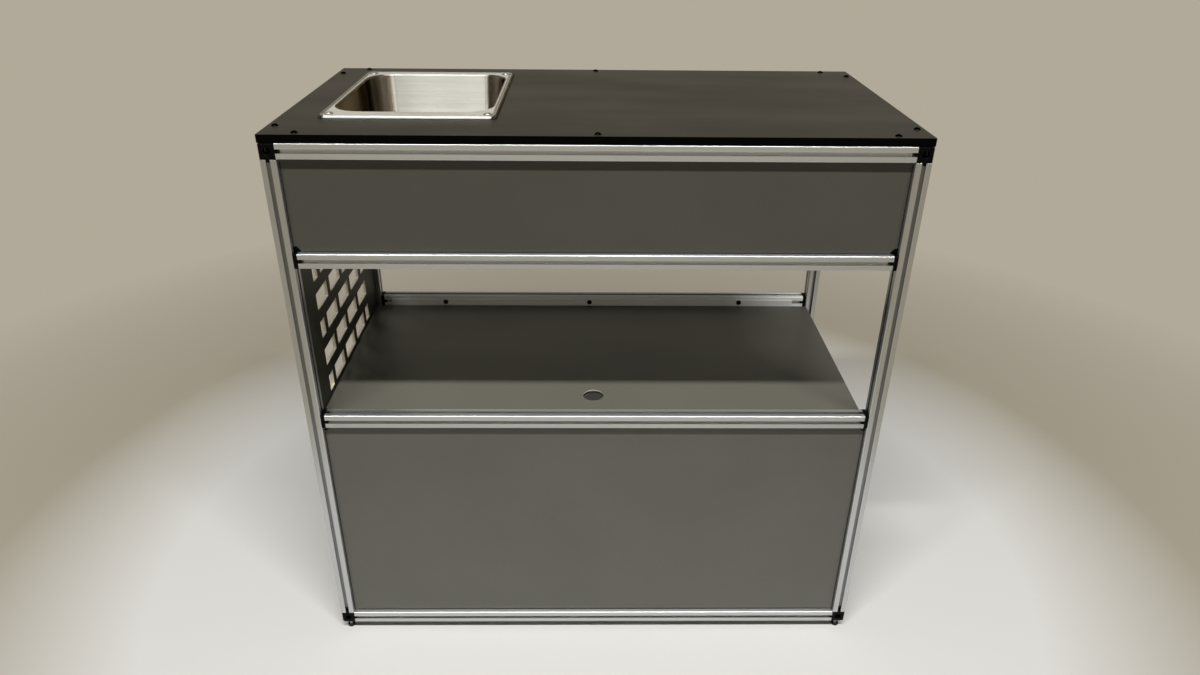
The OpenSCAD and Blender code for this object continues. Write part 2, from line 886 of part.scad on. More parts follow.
module pad(sx, sy) {
    edge = 1;
    color([0.05, 0.05, 0.05])
        translate([sx * post_x, sy * post_y, 0])
            rotate_extrude()
                polygon([
                    [0, 0], [pad_d / 2 - edge / 2, 0], [pad_d / 2, edge / 2], [pad_d / 2, pad_h - edge],
                    [pad_d / 2 - edge, pad_h], [stud_d / 2, pad_h], [stud_d / 2, stud_foot], [0, stud_foot]]);
}

post(left, front);  // post_front_left
post(right, front);  // post_front_right
post(left, rear);  // post_rear_left
post(right, rear);  // post_rear_right
cube_rail(front, top_rail_z);  // rail_front_top
mid_rail(front, upper_rail_c);  // rail_front_upper
mid_rail(front, shelf_rail_c);  // rail_front_shelf
cube_rail(front, bottom_rail_z);  // rail_front_bottom
cube_rail(rear, top_rail_z);  // rail_rear_top
mid_rail(rear, shelf_rail_c);  // rail_rear_shelf
cube_rail(rear, bottom_rail_z);  // rail_rear_bottom
side_rail(left, top_rail_z);  // rail_left_top
side_rail(left, bottom_rail_z);  // rail_left_bottom
side_rail(right, top_rail_z);  // rail_right_top
side_rail(right, bottom_rail_z);  // rail_right_bottom
at_corner(left, front, bottom) corner_cube();  // cube_bottom_front_left
at_corner(right, front, bottom) corner_cube();  // cube_bottom_front_right
at_corner(left, rear, bottom) corner_cube();  // cube_bottom_rear_left
at_corner(right, rear, bottom) corner_cube();  // cube_bottom_rear_right
at_corner(left, front, top) corner_cube();  // cube_top_front_left
at_corner(right, front, top) corner_cube();  // cube_top_front_right
at_corner(left, rear, top) corner_cube();  // cube_top_rear_left
at_corner(right, rear, top) corner_cube();  // cube_top_rear_right
cube_screws();
connector_at(left, front, upper_rail_c);  // connector_upper_left
connector_at(right, front, upper_rail_c);  // connector_upper_right
connector_at(left, front, shelf_rail_c);  // connector_shelf_left
connector_at(right, front, shelf_rail_c);  // connector_shelf_right
connector_at(left, rear, shelf_rail_c);  // connector_rear_left
connector_at(right, rear, shelf_rail_c);  // connector_rear_right
panel_upper_front();
panel_lower_front();
panel_left();
floor_panel();
worktop();
worktop_screws();
slot_nuts();
lid();
cleat(front);  // cleat_front
cleat(rear);  // cleat_rear
cleat_screws();
sink_basin();
sink_gasket();
sink_screws();
drain_strainer();
drain_gasket();
drain_locknut();
drain_tail_nut();
drain_tailpiece();
foot_bushes();
stud(left, front);  // stud_front_left
stud(right, front);  // stud_front_right
stud(left, rear);  // stud_rear_left
stud(right, rear);  // stud_rear_right
pad(left, front);  // pad_front_left
pad(right, front);  // pad_front_right
pad(left, rear);  // pad_rear_left
pad(right, rear);  // pad_rear_right
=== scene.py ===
# Camper sink cabinet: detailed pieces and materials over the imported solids
# Lengths are in mm; materials, floor, lamp and camera are in metres
import math
import random

import bmesh
import bpy
from mathutils import Matrix, Vector
from mathutils.geometry import tessellate_polygon


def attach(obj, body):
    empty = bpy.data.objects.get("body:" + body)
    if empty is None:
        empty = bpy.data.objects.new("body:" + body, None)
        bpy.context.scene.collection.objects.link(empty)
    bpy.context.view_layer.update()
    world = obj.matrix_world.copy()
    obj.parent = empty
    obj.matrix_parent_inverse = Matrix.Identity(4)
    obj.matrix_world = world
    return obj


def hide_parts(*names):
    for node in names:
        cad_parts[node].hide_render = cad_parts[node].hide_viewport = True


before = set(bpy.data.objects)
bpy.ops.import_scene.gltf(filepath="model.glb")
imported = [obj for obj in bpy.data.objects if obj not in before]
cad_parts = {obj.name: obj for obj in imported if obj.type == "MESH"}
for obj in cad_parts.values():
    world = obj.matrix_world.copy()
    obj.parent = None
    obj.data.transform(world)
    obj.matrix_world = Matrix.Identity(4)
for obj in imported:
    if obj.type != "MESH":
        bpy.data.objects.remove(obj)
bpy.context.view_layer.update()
scene = bpy.context.scene
scene.view_settings.view_transform = "Standard"
MM = 0.001
rng = random.Random(7)

# Sizes, the same as in the part's source
W, D, H = 1016.0, 520.7, 977.9
BAR = 25.4
HALF = BAR / 2
FOOT = 19.0
HALF_W, HALF_D = W / 2, D / 2
POST_X, POST_Y = HALF_W - HALF, HALF_D - HALF
FRAME_TOP = FOOT + H
TOP_RAIL = FRAME_TOP - HALF
LOW_RAIL = FOOT + HALF
UPPER_TOP = FOOT + 800.1
UPPER_RAIL = UPPER_TOP - HALF
SHELF_TOP = FOOT + 495.3
SHELF_RAIL = SHELF_TOP - HALF
PLATE = 6.5
TOP_T = 12.7
TOP_Z = FRAME_TOP + TOP_T
PANEL_T = 6.0
GRIP = 6.0

# The lid lies on its cleats below the top of the shelf rails, with some play round it
LID_T = 6.35
LID_DROP = 19.05
LID_TOP = SHELF_TOP - LID_DROP
LID_LOW = LID_TOP - LID_T
LID_SIDE_GAP, LID_REAR_GAP, LID_PLAY = 1.8, 5, 0.2
CLEAT_BACK = HALF_D - BAR
CLEAT_T, CLEAT_LEG, CLEAT_INSET = 3.2, 22.2, 49.5
LID_REAR = CLEAT_BACK - CLEAT_T - LID_REAR_GAP
LID_LEFT = -POST_X + PANEL_T / 2 + LID_SIDE_GAP
LID_RIGHT = HALF_W - BAR
LID_C = (LID_LEFT + LID_RIGHT) / 2
CLEAT_TOP = LID_LOW - LID_PLAY
CLEAT_HALF = LID_C + HALF_W - CLEAT_INSET

# The sink: its bowl at the mouth, the flange round it, the rolled rim, and the cup of the drain
BOWL_W, BOWL_D, BOWL_R = 258.0, 306.0, 45.0
RIM_SIDE, RIM_FRONT, RIM_REAR = 14.0, 36.0, 23.0
SINK_W = BOWL_W + 2 * RIM_SIDE
SINK_D = BOWL_D + RIM_FRONT + RIM_REAR
MIDDLE_FROM_LEFT, RIM_FROM_FRONT = 205.2, 100.0
SINK_X = MIDDLE_FROM_LEFT - HALF_W
SINK_Y = RIM_FROM_FRONT + SINK_D / 2 - HALF_D
BOWL_Y = SINK_Y + (RIM_FRONT - RIM_REAR) / 2
BEAD_R = 4.4
RIM_R = 12.0
STEEL = 1.2
FLANGE_RISE = 2.6
FLANGE_TOP = TOP_Z + FLANGE_RISE + STEEL
BOWL_DEPTH, CUP_DEPTH, SPIGOT_LEN = 150, 20, 8
BOWL_FLOOR = FLANGE_TOP - BOWL_DEPTH
CUP_LOW = BOWL_FLOOR - CUP_DEPTH
SPIGOT_END = CUP_LOW - SPIGOT_LEN

# Button heads of the worktop and the cleats
HEAD_D, HEAD_H = 11.0, 3.2


# Outlines in the plane: outer ones run anticlockwise, holes clockwise
def arc(cx, cy, r, start, end, steps):
    return [(cx + r * math.cos(math.radians(start + (end - start) * i / steps)),
             cy + r * math.sin(math.radians(start + (end - start) * i / steps))) for i in range(steps + 1)]


def circle(r, cx=0.0, cy=0.0, steps=48, hole=False):
    pts = arc(cx, cy, r, 0, 360, steps)[:-1]
    return pts[::-1] if hole else pts


def round_rect(w, d, r, cx=0.0, cy=0.0, steps=8, hole=False):
    pts = []
    for k, (sx, sy) in enumerate([(1, 1), (-1, 1), (-1, -1), (1, -1)]):
        pts += arc(cx + sx * (w / 2 - r), cy + sy * (d / 2 - r), r, 90 * k, 90 * k + 90, steps)
    return pts[::-1] if hole else pts


def inset(pts, dist):
    if not dist:
        return list(pts)
    out = []
    n = len(pts)
    for i in range(n):
        a, b, c = Vector(pts[i - 1]), Vector(pts[i]), Vector(pts[(i + 1) % n])
        e1, e2 = (b - a).normalized(), (c - b).normalized()
        n1, n2 = Vector((-e1.y, e1.x)), Vector((-e2.y, e2.x))
        m = n1 + n2
        m = m / max(m.length_squared / 2, 0.2)
        out.append((b.x + m.x * dist, b.y + m.y * dist))
    return out


# Sheet or bar of any outline; levels are (inset, height) pairs from bottom to top
def prism(contours, levels):
    verts, faces, side = [], [], []
    starts = []
    for c in contours:
        rows = []
        for off, z in levels:
            rows.append(len(verts))
            verts += [(x, y, z) for x, y in inset(c, off)]
        n = len(c)
        for a, b in zip(rows, rows[1:]):
            for i in range(n):
                j = (i + 1) % n
                faces.append((a + i, a + j, b + j, b + i))
                side.append(1)
        starts.append((rows, n))
    for level, up in ((0, False), (-1, True)):
        loops = [[Vector(verts[rows[level] + i]).to_2d().to_3d() for i in range(n)] for rows, n in starts]
        index = [rows[level] + i for rows, n in starts for i in range(n)]
        for tri in tessellate_polygon(loops):
            p, q, r = (Vector(verts[index[k]]) for k in tri)
            if ((q - p).cross(r - p).z > 0) != up:
                tri = tri[::-1]
            faces.append(tuple(index[k] for k in tri))
            side.append(0)
    return verts, faces, side


# Levels of a sheet t thick, round its middle, with both edges rounded by ease
def eased(t, ease, steps=3):
    turns = [math.radians(90 * k / steps) for k in range(steps + 1)]
    low = [(ease * (1 - math.sin(a)), -t / 2 + ease * (1 - math.cos(a))) for a in turns]
    return low + [(off, -z) for off, z in reversed(low)]


def raised(levels, height):
    return [(off, z + height) for off, z in levels]


def around(r, z, steps):
    return [(r * math.cos(2 * math.pi * i / steps), r * math.sin(2 * math.pi * i / steps), z)
            for i in range(steps)]


# Turned shape from (radius, height) pairs, bottom to top on the outside
def lathe(profile, steps=48):
    verts, faces = [], []
    rows = []
    for r, z in profile:
        if r < 1e-6:
            rows.append((len(verts), 1))
            verts.append((0.0, 0.0, z))
        else:
            rows.append((len(verts), steps))
            verts += around(r, z, steps)
    for (a, na), (b, nb) in zip(rows, rows[1:]):
        for i in range(steps):
            j = (i + 1) % steps
            if na == 1 and nb == 1:
                continue
            if na == 1:
                faces.append((a, b + j, b + i))
            elif nb == 1:
                faces.append((a + i, a + j, b))
            else:
                faces.append((a + i, a + j, b + j, b + i))
    return verts, faces


# Skin over rings of points, each with the same number of them
def loft(rings):
    n = len(rings[0])
    verts = [v for r in rings for v in r]
    faces = []
    for k in range(len(rings) - 1):
        for i in range(n):
            j = (i + 1) % n
            faces.append((k * n + i, k * n + j, (k + 1) * n + j, (k + 1) * n + i))
    return verts, faces


def moved(shape, matrix):
    verts, faces = shape[0], shape[1]
    flip = matrix.determinant() < 0
    verts = [tuple(matrix @ Vector(v)) for v in verts]
    if flip:
        faces = [tuple(reversed(f)) for f in faces]
    return (verts, faces) + tuple(shape[2:])


def joined(shapes):
    verts, faces, side = [], [], []
    for s in shapes:
        base = len(verts)
        verts += s[0]
        faces += [tuple(base + k for k in f) for f in s[1]]
        side += s[2] if len(s) > 2 else [0] * len(s[1])
    return verts, faces, side


def to_mesh(name, shape, smooth=35):
    mesh = bpy.data.meshes.new(name)
    mesh.from_pydata([(x * MM, y * MM, z * MM) for x, y, z in shape[0]], [], shape[1])
    mesh.validate()
    mesh.shade_smooth()
    mesh.set_sharp_from_angle(angle=math.radians(smooth))
    return mesh


# A visible piece: faces marked 1 take the edge material, and a sheet gets its thickness behind its faces
def piece(name, shape, material, nodes=(), body="cabinet", smooth=35, edge_material=None, sheet=0.0):
    mesh = to_mesh(name, shape, smooth)
    mesh.materials.append(material)
    if edge_material:
        mesh.materials.append(edge_material)
        mesh.polygons.foreach_set("material_index", shape[2])
    obj = bpy.data.objects.new(name, mesh)
    scene.collection.objects.link(obj)
    if sheet:
        thick = obj.modifiers.new("sheet", "SOLIDIFY")
        thick.thickness = sheet * MM
        thick.offset = -1.0
    flats = obj.modifiers.new("flats", "WEIGHTED_NORMAL")
    flats.keep_sharp = True
    flats.weight = 100
    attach(obj, body)
    if nodes:
        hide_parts(*nodes)


# Cuts the tools out of the shape, all in mm
def carved(name, shape, tools, smooth=35):
    body = bpy.data.objects.new(name + "_work", to_mesh(name, shape, smooth))
    tool = bpy.data.objects.new(name + "_tool", to_mesh(name + "_tool", joined(tools), smooth))
    for o in (body, tool):
        scene.collection.objects.link(o)
    mod = body.modifiers.new("cut", "BOOLEAN")
    mod.object = tool
    mod.solver = "EXACT"
    mod.use_self = True
    dg = bpy.context.evaluated_depsgraph_get()
    mesh = bpy.data.meshes.new_from_object(body.evaluated_get(dg))
    verts = [tuple(c / MM for c in v.co) for v in mesh.vertices]
    faces = [tuple(p.vertices) for p in mesh.polygons]
    for o in (body, tool):
        bpy.data.objects.remove(o)
    return verts, faces


# Materials
def new_material(name, color, rough, metallic=0.0, specular=0.5):
    mat = bpy.data.materials.new(name)
    mat.use_nodes = True
    shader = mat.node_tree.nodes["Principled BSDF"]
    shader.inputs["Base Color"].default_value = (*color, 1)
    shader.inputs["Roughness"].default_value = rough
    shader.inputs["Metallic"].default_value = metallic
    shader.inputs["Specular IOR Level"].default_value = specular
    return mat, mat.node_tree, shader


def node(tree, kind, **values):
    n = tree.nodes.new(kind)
    for key, value in values.items():
        if key in n.inputs:
            n.inputs[key].default_value = value
        else:
            setattr(n, key, value)
    return n


# Links an output to a socket, or sets a number or a colour on it
def plug(tree, value, socket):
    if isinstance(value, bpy.types.NodeSocket):
        tree.links.new(value, socket)
    else:
        socket.default_value = (*value, 1) if isinstance(value, tuple) else value


def arith(tree, operation, *values):
    n = node(tree, "ShaderNodeMath", operation=operation)
    for value, socket in zip(values, n.inputs):
        plug(tree, value, socket)
    return n.outputs[0]


def split_axes(tree, vector):
    n = node(tree, "ShaderNodeSeparateXYZ")
    tree.links.new(vector, n.inputs[0])
    return n.outputs


def coords(tree, scale=(1, 1, 1)):
    c = node(tree, "ShaderNodeTexCoord")
    m = node(tree, "ShaderNodeMapping")
    m.inputs["Scale"].default_value = scale
    tree.links.new(c.outputs["Object"], m.inputs["Vector"])
    return m.outputs["Vector"]


def noise_tex(tree, vector, scale, detail=3.0, rough=0.5):
    n = node(tree, "ShaderNodeTexNoise", Scale=scale, Detail=detail, Roughness=rough)
    tree.links.new(vector, n.inputs["Vector"])
    return n.outputs["Fac"]


def remap(tree, value, lo, hi, from_lo=0.3, from_hi=0.7):
    n = node(tree, "ShaderNodeMapRange")
    n.inputs["From Min"].default_value = from_lo
    n.inputs["From Max"].default_value = from_hi
    n.inputs["To Min"].default_value = lo
    n.inputs["To Max"].default_value = hi
    tree.links.new(value, n.inputs["Value"])
    return n.outputs["Result"]


def ramp(tree, value, stops):
    n = node(tree, "ShaderNodeValToRGB")
    elements = n.color_ramp.elements
    while len(elements) < len(stops):
        elements.new(0.5)
    for element, (position, level) in zip(elements, stops):
        element.position = position
        element.color = (level, level, level, 1)
    tree.links.new(value, n.inputs["Fac"])
    return n.outputs["Color"]


def blend_color(tree, value, first, second, lo=0.35, hi=0.65):
    n = node(tree, "ShaderNodeValToRGB")
    n.color_ramp.elements[0].position = lo
    n.color_ramp.elements[0].color = (*first, 1)
    n.color_ramp.elements[1].position = hi
    n.color_ramp.elements[1].color = (*second, 1)
    tree.links.new(value, n.inputs["Fac"])
    return n.outputs["Color"]


# The first colour at factor 0, the second at 1, or their product at 1 where the blend is MULTIPLY
def either(tree, factor, first, second, blend="MIX"):
    n = node(tree, "ShaderNodeMix", data_type="RGBA", blend_type=blend)
    for key, value in (("Factor", factor), ("A", first), ("B", second)):
        plug(tree, value, n.inputs[key])
    return n.outputs["Result"]


def bump(tree, shader, heights):
    last = None
    for value, strength, distance in heights:
        n = node(tree, "ShaderNodeBump")
        n.inputs["Strength"].default_value = strength
        n.inputs["Distance"].default_value = distance
        tree.links.new(value, n.inputs["Height"])
        if last:
            tree.links.new(last, n.inputs["Normal"])
        last = n.outputs["Normal"]
    tree.links.new(last, shader.inputs["Normal"])


# Light spreads along this direction, across the drawn or brushed lines
def spread_along(tree, shader, direction, strength):
    shader.inputs["Anisotropic"].default_value = strength
    way = node(tree, "ShaderNodeCombineXYZ")
    for k in range(3):
        way.inputs[k].default_value = direction[k]
    tree.links.new(way.outputs[0], shader.inputs["Tangent"])


# Satin anodised bar with fine die lines along its length; a tone other than 1 paints light or shade into its
# colour: below 1 is painted shade inside a slot, above 1 painted light on a rail in shade
def anodised(name, along, tone=1.0, rough_mid=0.337):
    bright, dull = ((c * tone, (c + 0.012) * tone, (c + 0.02) * tone) for c in (0.61, 0.56))
    mat, tree, shader = new_material(name, bright, rough_mid, metallic=1.0)
    fine = tuple(0.8 if i == along else 2200.0 for i in range(3))
    broad = tuple(0.3 if i == along else 260.0 for i in range(3))
    lines = noise_tex(tree, coords(tree, fine), 1.0, 3.0, 0.6)
    streak = noise_tex(tree, coords(tree, broad), 1.0, 2.0, 0.5)
    cloud = noise_tex(tree, coords(tree), 14.0, 3.0, 0.6)
    tree.links.new(blend_color(tree, streak, dull, bright), shader.inputs["Base Color"])
    fine_rough = remap(tree, lines, rough_mid - 0.012, rough_mid + 0.013)
    rough = arith(tree, "ADD", fine_rough, remap(tree, cloud, -0.003, 0.005))
    tree.links.new(rough, shader.inputs["Roughness"])
    spread_along(tree, shader, {0: (0, 1, 1), 1: (1, 0, 1), 2: (1, 1, 0)}[along], 0.75)
    bump(tree, shader, [(lines, 0.02, 0.00001)])
    return mat


# Laminate face: fine pebble, faint cloudiness and wiped-on smears
def laminate(name, dark, light, rough, specular=0.4):
    mat, tree, shader = new_material(name, dark, rough, specular=specular)
    where = coords(tree)
    cloud = noise_tex(tree, where, 5.0, 4.0, 0.55)
    fleck = noise_tex(tree, where, 900.0, 2.0, 0.6)
    pebble = noise_tex(tree, where, 1500.0, 1.0, 0.5)
    smear = noise_tex(tree, coords(tree, (2.0, 6.0, 9.0)), 1.0, 3.0, 0.6)
    base = blend_color(tree, cloud, dark, light)
    grain = blend_color(tree, fleck, (0.78, 0.78, 0.78), (1.15, 1.15, 1.15), 0.3, 0.7)
    tree.links.new(either(tree, 0.35, base, grain, "MULTIPLY"), shader.inputs["Base Color"])
    tree.links.new(remap(tree, smear, rough - 0.05, rough + 0.07), shader.inputs["Roughness"])
    bump(tree, shader, [(pebble, 0.15, 0.00006), (fleck, 0.1, 0.0001)])
    return mat


# Cut edge of a board: a core of thin veneers between two dark faces; across is the axis of its thickness
PLY = 0.8
FACE_BLEND = 0.25


def board_edge(name, across, middle, core, tones, face=(0.02, 0.019, 0.016)):
    mat, tree, shader = new_material(name, (0.5, 0.36, 0.2), 0.65, specular=0.3)
    depth = arith(tree, "SUBTRACT", split_axes(tree, coords(tree))[across], middle * MM)
    wave = arith(tree, "SINE", arith(tree, "MULTIPLY", depth, math.pi / (PLY * MM)))
    fibres = tuple(60.0 if i != across else 2500.0 for i in range(3))
    grain = noise_tex(tree, coords(tree, fibres), 4.0, 4.0, 0.6)
    plies = blend_color(tree, remap(tree, wave, 0, 1, -1, 1), *tones, 0.4, 0.6)
    shade = blend_color(tree, grain, (0.75, 0.72, 0.68), (1.1, 1.08, 1.05), 0.3, 0.7)
    tone = either(tree, 0.6, plies, shade, "MULTIPLY")
    away = arith(tree, "ABSOLUTE", depth)
    outside = remap(tree, away, 0, 1, core / 2 * MM, (core / 2 + FACE_BLEND) * MM)
    tree.links.new(either(tree, outside, tone, face), shader.inputs["Base Color"])
    bump(tree, shader, [(grain, 0.4, 0.0003)])
    return mat


# Satin or polished steel with faint marks
def steel(name, color, rough_lo, rough_hi, scale, strength=0.15):
    mat, tree, shader = new_material(name, color, rough_lo, metallic=1.0)
    marks = noise_tex(tree, coords(tree, scale), 1.0, 4.0, 0.6)
    dark = tuple(c * 0.9 for c in color)
    tree.links.new(blend_color(tree, marks, dark, color), shader.inputs["Base Color"])
    tree.links.new(remap(tree, marks, rough_lo, rough_hi), shader.inputs["Roughness"])
    bump(tree, shader, [(marks, strength, 0.00003)])
    return mat


# How far the brushed tone gives way to the darker side tone as a wall turns from facing front to facing
# sideways: bands of painted reflection and shade in the bowl's corners
PAINTED_REFLECTION_BANDS = [(0.05, 0.0), (0.09, 0.75), (0.13, 0.05), (0.19, 0.1), (0.25, 1.0), (0.5, 0.95), (0.56, 0.45),
                (0.64, 0.5), (0.7, 1.0)]


# Sink steel: front and rear walls brushed in level lines, side walls and corners smoother; the side walls'
# darker tone, their vertical streaks and the corner bands are painted reflection and shade, and the flange is
# made lighter as painted light; the second colour is the side walls' tone, which painted shade darkens
# further towards the front
# Painted shade: the dark tint on the reflections of side walls and corners, and the depths between which the
# side walls darken towards the front
PAINTED_SHADE_TINT = (0.4, 0.36, 0.3)
SHADE_FROM, SHADE_TO = BOWL_Y - 110, BOWL_Y + 30


def sink_steel_painted_shade(name, brushed, painted_side_shade):
    mat, tree, shader = new_material(name, brushed, 0.4, metallic=1.0)
    spread_along(tree, shader, (0, 0.25, 1), 1.0)
    facing = split_axes(tree, node(tree, "ShaderNodeTexCoord").outputs["Normal"])
    sideways, frontward, upward = (arith(tree, "ABSOLUTE", facing[k]) for k in range(3))
    brushing = remap(tree, frontward, 0, 1, 0.94, 0.998)
    # Corner bands of painted reflection and shade
    painted_bands = ramp(tree, sideways, PAINTED_REFLECTION_BANDS)
    sloping, steep = remap(tree, upward, 0, 1, 0.1, 0.3), remap(tree, upward, 1, 0, 0.85, 0.97)
    rolled = arith(tree, "MULTIPLY", sloping, steep)
    level = remap(tree, upward, 0, 1, 0.85, 0.97)
    lines = noise_tex(tree, coords(tree, (4.0, 4.0, 620.0)), 1.0, 4.0, 0.65)
    flecks = noise_tex(tree, coords(tree, (60.0, 60.0, 900.0)), 1.0, 3.0, 0.6)
    # Vertical streaks of painted reflection on the side walls
    painted_streaks = noise_tex(tree, coords(tree, (38.0, 38.0, 1.0)), 1.0, 2.0, 0.5)
    wall = blend_color(tree, lines, tuple(c * 0.84 for c in brushed), brushed, 0.3, 0.65)
    # The flange, facing up, made lighter: painted light
    wall = either(tree, level, wall, tuple(c * 1.5 for c in brushed))
    fleck_tone = blend_color(tree, flecks, (0.86, 0.86, 0.86), (1.08, 1.08, 1.08), 0.3, 0.7)
    wall = either(tree, 0.5, wall, fleck_tone, "MULTIPLY")
    side = blend_color(tree, painted_streaks, tuple(c * 0.45 for c in painted_side_shade), painted_side_shade, 0.4, 0.62)
    # The side walls darker towards the front: painted shade
    back = remap(tree, split_axes(tree, coords(tree))[1], 0, 1, SHADE_FROM * MM, SHADE_TO * MM)
    side = either(tree, back, tuple(c * 0.35 for c in painted_side_shade), side)
    tree.links.new(either(tree, painted_bands, wall, side), shader.inputs["Base Color"])
    # Reflections of side walls and corners tinted dark: painted shade
    tree.links.new(either(tree, painted_bands, (1.0, 1.0, 1.0), PAINTED_SHADE_TINT), shader.inputs["Specular Tint"])
    rough = arith(tree, "ADD", remap(tree, brushing, 0.24, 0.38, 0, 1), remap(tree, lines, -0.02, 0.03))
    tree.links.new(arith(tree, "MULTIPLY_ADD", rolled, 0.16, rough), shader.inputs["Roughness"])
    bump(tree, shader, [(lines, 0.03, 0.00003)])
    return mat


# Moulded plastic, rubber, paint: a fine moulded texture and a little dust
def moulded(name, color, rough, specular=0.5, grain=700.0, strength=0.2, metallic=0.0):
    mat, tree, shader = new_material(name, color, rough, metallic=metallic, specular=specular)
    where = coords(tree)
    skin = noise_tex(tree, where, grain, 2.0, 0.5)
    dust = noise_tex(tree, where, 40.0, 4.0, 0.6)
    light = tuple(c * 1.6 for c in color)
    tree.links.new(blend_color(tree, dust, color, light, 0.45, 0.75), shader.inputs["Base Color"])
    tree.links.new(remap(tree, dust, rough - 0.04, rough + 0.08), shader.inputs["Roughness"])
    bump(tree, shader, [(skin, strength, 0.0001)])
    return mat


# Painted shade inside the slots: darker on an upright bar than on a level one
SLOT_SHADE_TONES = (0.85, 0.7, 0.5)
ALU = [anodised("anodised_bar_" + "xyz"[k], k) for k in range(3)]
# A rougher copy of the bar's finish with a lighter tone: painted light on the rear shelf rail and the cleats,
# which lie in shade
ROUGH_ALU_PAINTED_LIGHT = anodised("rough_anodised_painted_light_x", 0, 1.4, 0.6)
SHADED_SLOT = [anodised("slot_painted_shade_" + "xyz"[k], k, tone) for k, tone in enumerate(SLOT_SHADE_TONES)]
CUBE = moulded("black_cube_skin", (0.002, 0.002, 0.0021), 0.4, specular=0.06)
OXIDE = moulded("black_oxide", (0.0025, 0.0025, 0.0025), 0.1, grain=1500.0, strength=0.05, metallic=1.0)
OXIDE.node_tree.nodes["Principled BSDF"].inputs["Specular Tint"].default_value = (0.02, 0.02, 0.02, 1)
ZINC = steel("zinc_plate", (0.5, 0.5, 0.48), 0.3, 0.45, (80, 80, 80), 0.1)
PANEL = laminate("grey_laminate_face", (0.08, 0.0755, 0.064), (0.088, 0.083, 0.071), 0.42, specular=0.4)
# The lower front panel is the same laminate made lighter: painted bounce light from the floor
PANEL_PAINTED_BOUNCE = laminate("grey_laminate_painted_bounce_light", (0.12, 0.115, 0.101), (0.13, 0.125, 0.11), 0.42,
                     specular=0.5)
SIDE = laminate("dark_laminate_face", (0.026, 0.024, 0.018), (0.032, 0.0295, 0.022), 0.5, specular=0.3)
LID = laminate("lid_laminate_face", (0.132, 0.128, 0.106), (0.142, 0.138, 0.115), 0.38, specular=0.6)
TOP = laminate("black_laminate_face", (0.016, 0.0142, 0.0095), (0.02, 0.018, 0.012), 0.42, specular=0.27)
TOP_EDGE = moulded("black_edge_band", (0.001, 0.001, 0.001), 0.6, specular=0.03)
# A lighter copy of the veneer tones: painted light on the lit cut edges of the side panel's cutouts, which
# also get a wide core, and of the lid's finger hole
PAINTED_LIGHT_VENEER = ((0.72, 0.66, 0.53), (0.88, 0.82, 0.68))
VENEER = ((0.42, 0.36, 0.26), (0.62, 0.55, 0.42))
SIDE_EDGE = board_edge("side_panel_edge", 0, -POST_X, 5.0, PAINTED_LIGHT_VENEER)
# The lid's narrow core lies near its top face, so its edge reads light above and dark below: painted light
# and shade
LID_EDGE = board_edge("lid_edge", 2, LID_TOP - 1.5, 2.4, PAINTED_LIGHT_VENEER)
# The front panels' edges get a narrow core, so that they read mostly dark: painted shade in the corner
# reliefs
FRONT_EDGE = board_edge("front_panel_edge", 1, -POST_Y, 1.2, VENEER)
FLOOR_EDGE = board_edge("floor_panel_edge", 2, LOW_RAIL, 3.2, VENEER)
FLOOR_FACE = laminate("brown_laminate_face", (0.16, 0.125, 0.075), (0.185, 0.148, 0.09), 0.5, specular=0.35)
# The second colour is the painted shade of the side walls
SINK = sink_steel_painted_shade("sink_bowl_satin", (0.6, 0.6, 0.565), (0.42, 0.36, 0.285))
BRIGHT = steel("sink_screw_bright", (0.78, 0.77, 0.75), 0.25, 0.32, (60, 60, 60), 0.03)
RUBBER = moulded("black_rubber_skin", (0.018, 0.018, 0.018), 0.7, specular=0.25, grain=400.0, strength=0.3)
BLACK = moulded("black_plastic_skin", (0.015, 0.015, 0.015), 0.45)
WHITE = moulded("white_plastic_skin", (0.72, 0.72, 0.69), 0.4)


# The bar's section with its bore, and a mark for each edge that lies inside a slot
BORE_R, BORE_STEPS = 2.55, 24


def bar_profile():
    corner_r, lip, side, inside, mouth, floor, depth = 2.4, 2.2, 1.5, 14.0, 6.5, 7.0, 6.6
    half_side = [
        (HALF - corner_r - 0.3, HALF), (mouth / 2 + 0.6, HALF), (mouth / 2, HALF),
        (mouth / 2, HALF - lip + 0.3), (mouth / 2 + 0.3, HALF - lip), (inside / 2, HALF - lip),
        (inside / 2, HALF - lip - side), (floor / 2, HALF - depth)]
    left_half = [(-x, y) for x, y in reversed(half_side)]
    rounding = arc(HALF - corner_r, HALF - corner_r, corner_r, 0, 90, 8)
    one = rounding + half_side + left_half
    pts = []
    for k in range(4):
        c, s = round(math.cos(math.pi / 2 * k)), round(math.sin(math.pi / 2 * k))
        pts += [(c * x - s * y, s * x + c * y) for x, y in one]
    first, last = len(rounding) + 1, len(one) - 3
    marks = [int(first < i < last) for i in range(len(one))] * 4
    return [pts, circle(BORE_R, steps=BORE_STEPS, hole=True)], marks


# What turns a prism's height to each axis
AXES = {0: Matrix(((0, 0, 1, 0), (1, 0, 0, 0), (0, 1, 0, 0), (0, 0, 0, 1))),
        1: Matrix(((0, 1, 0, 0), (0, 0, 1, 0), (1, 0, 0, 0), (0, 0, 0, 1))),
        2: Matrix.Identity(4)}
PROFILE, IN_SLOT = bar_profile()


# Levels of a long prism whose ends are chamfered
def chamfered(length, cut):
    return [(cut, -length / 2), (0, -length / 2 + cut), (0, length / 2 - cut), (cut, length / 2)]


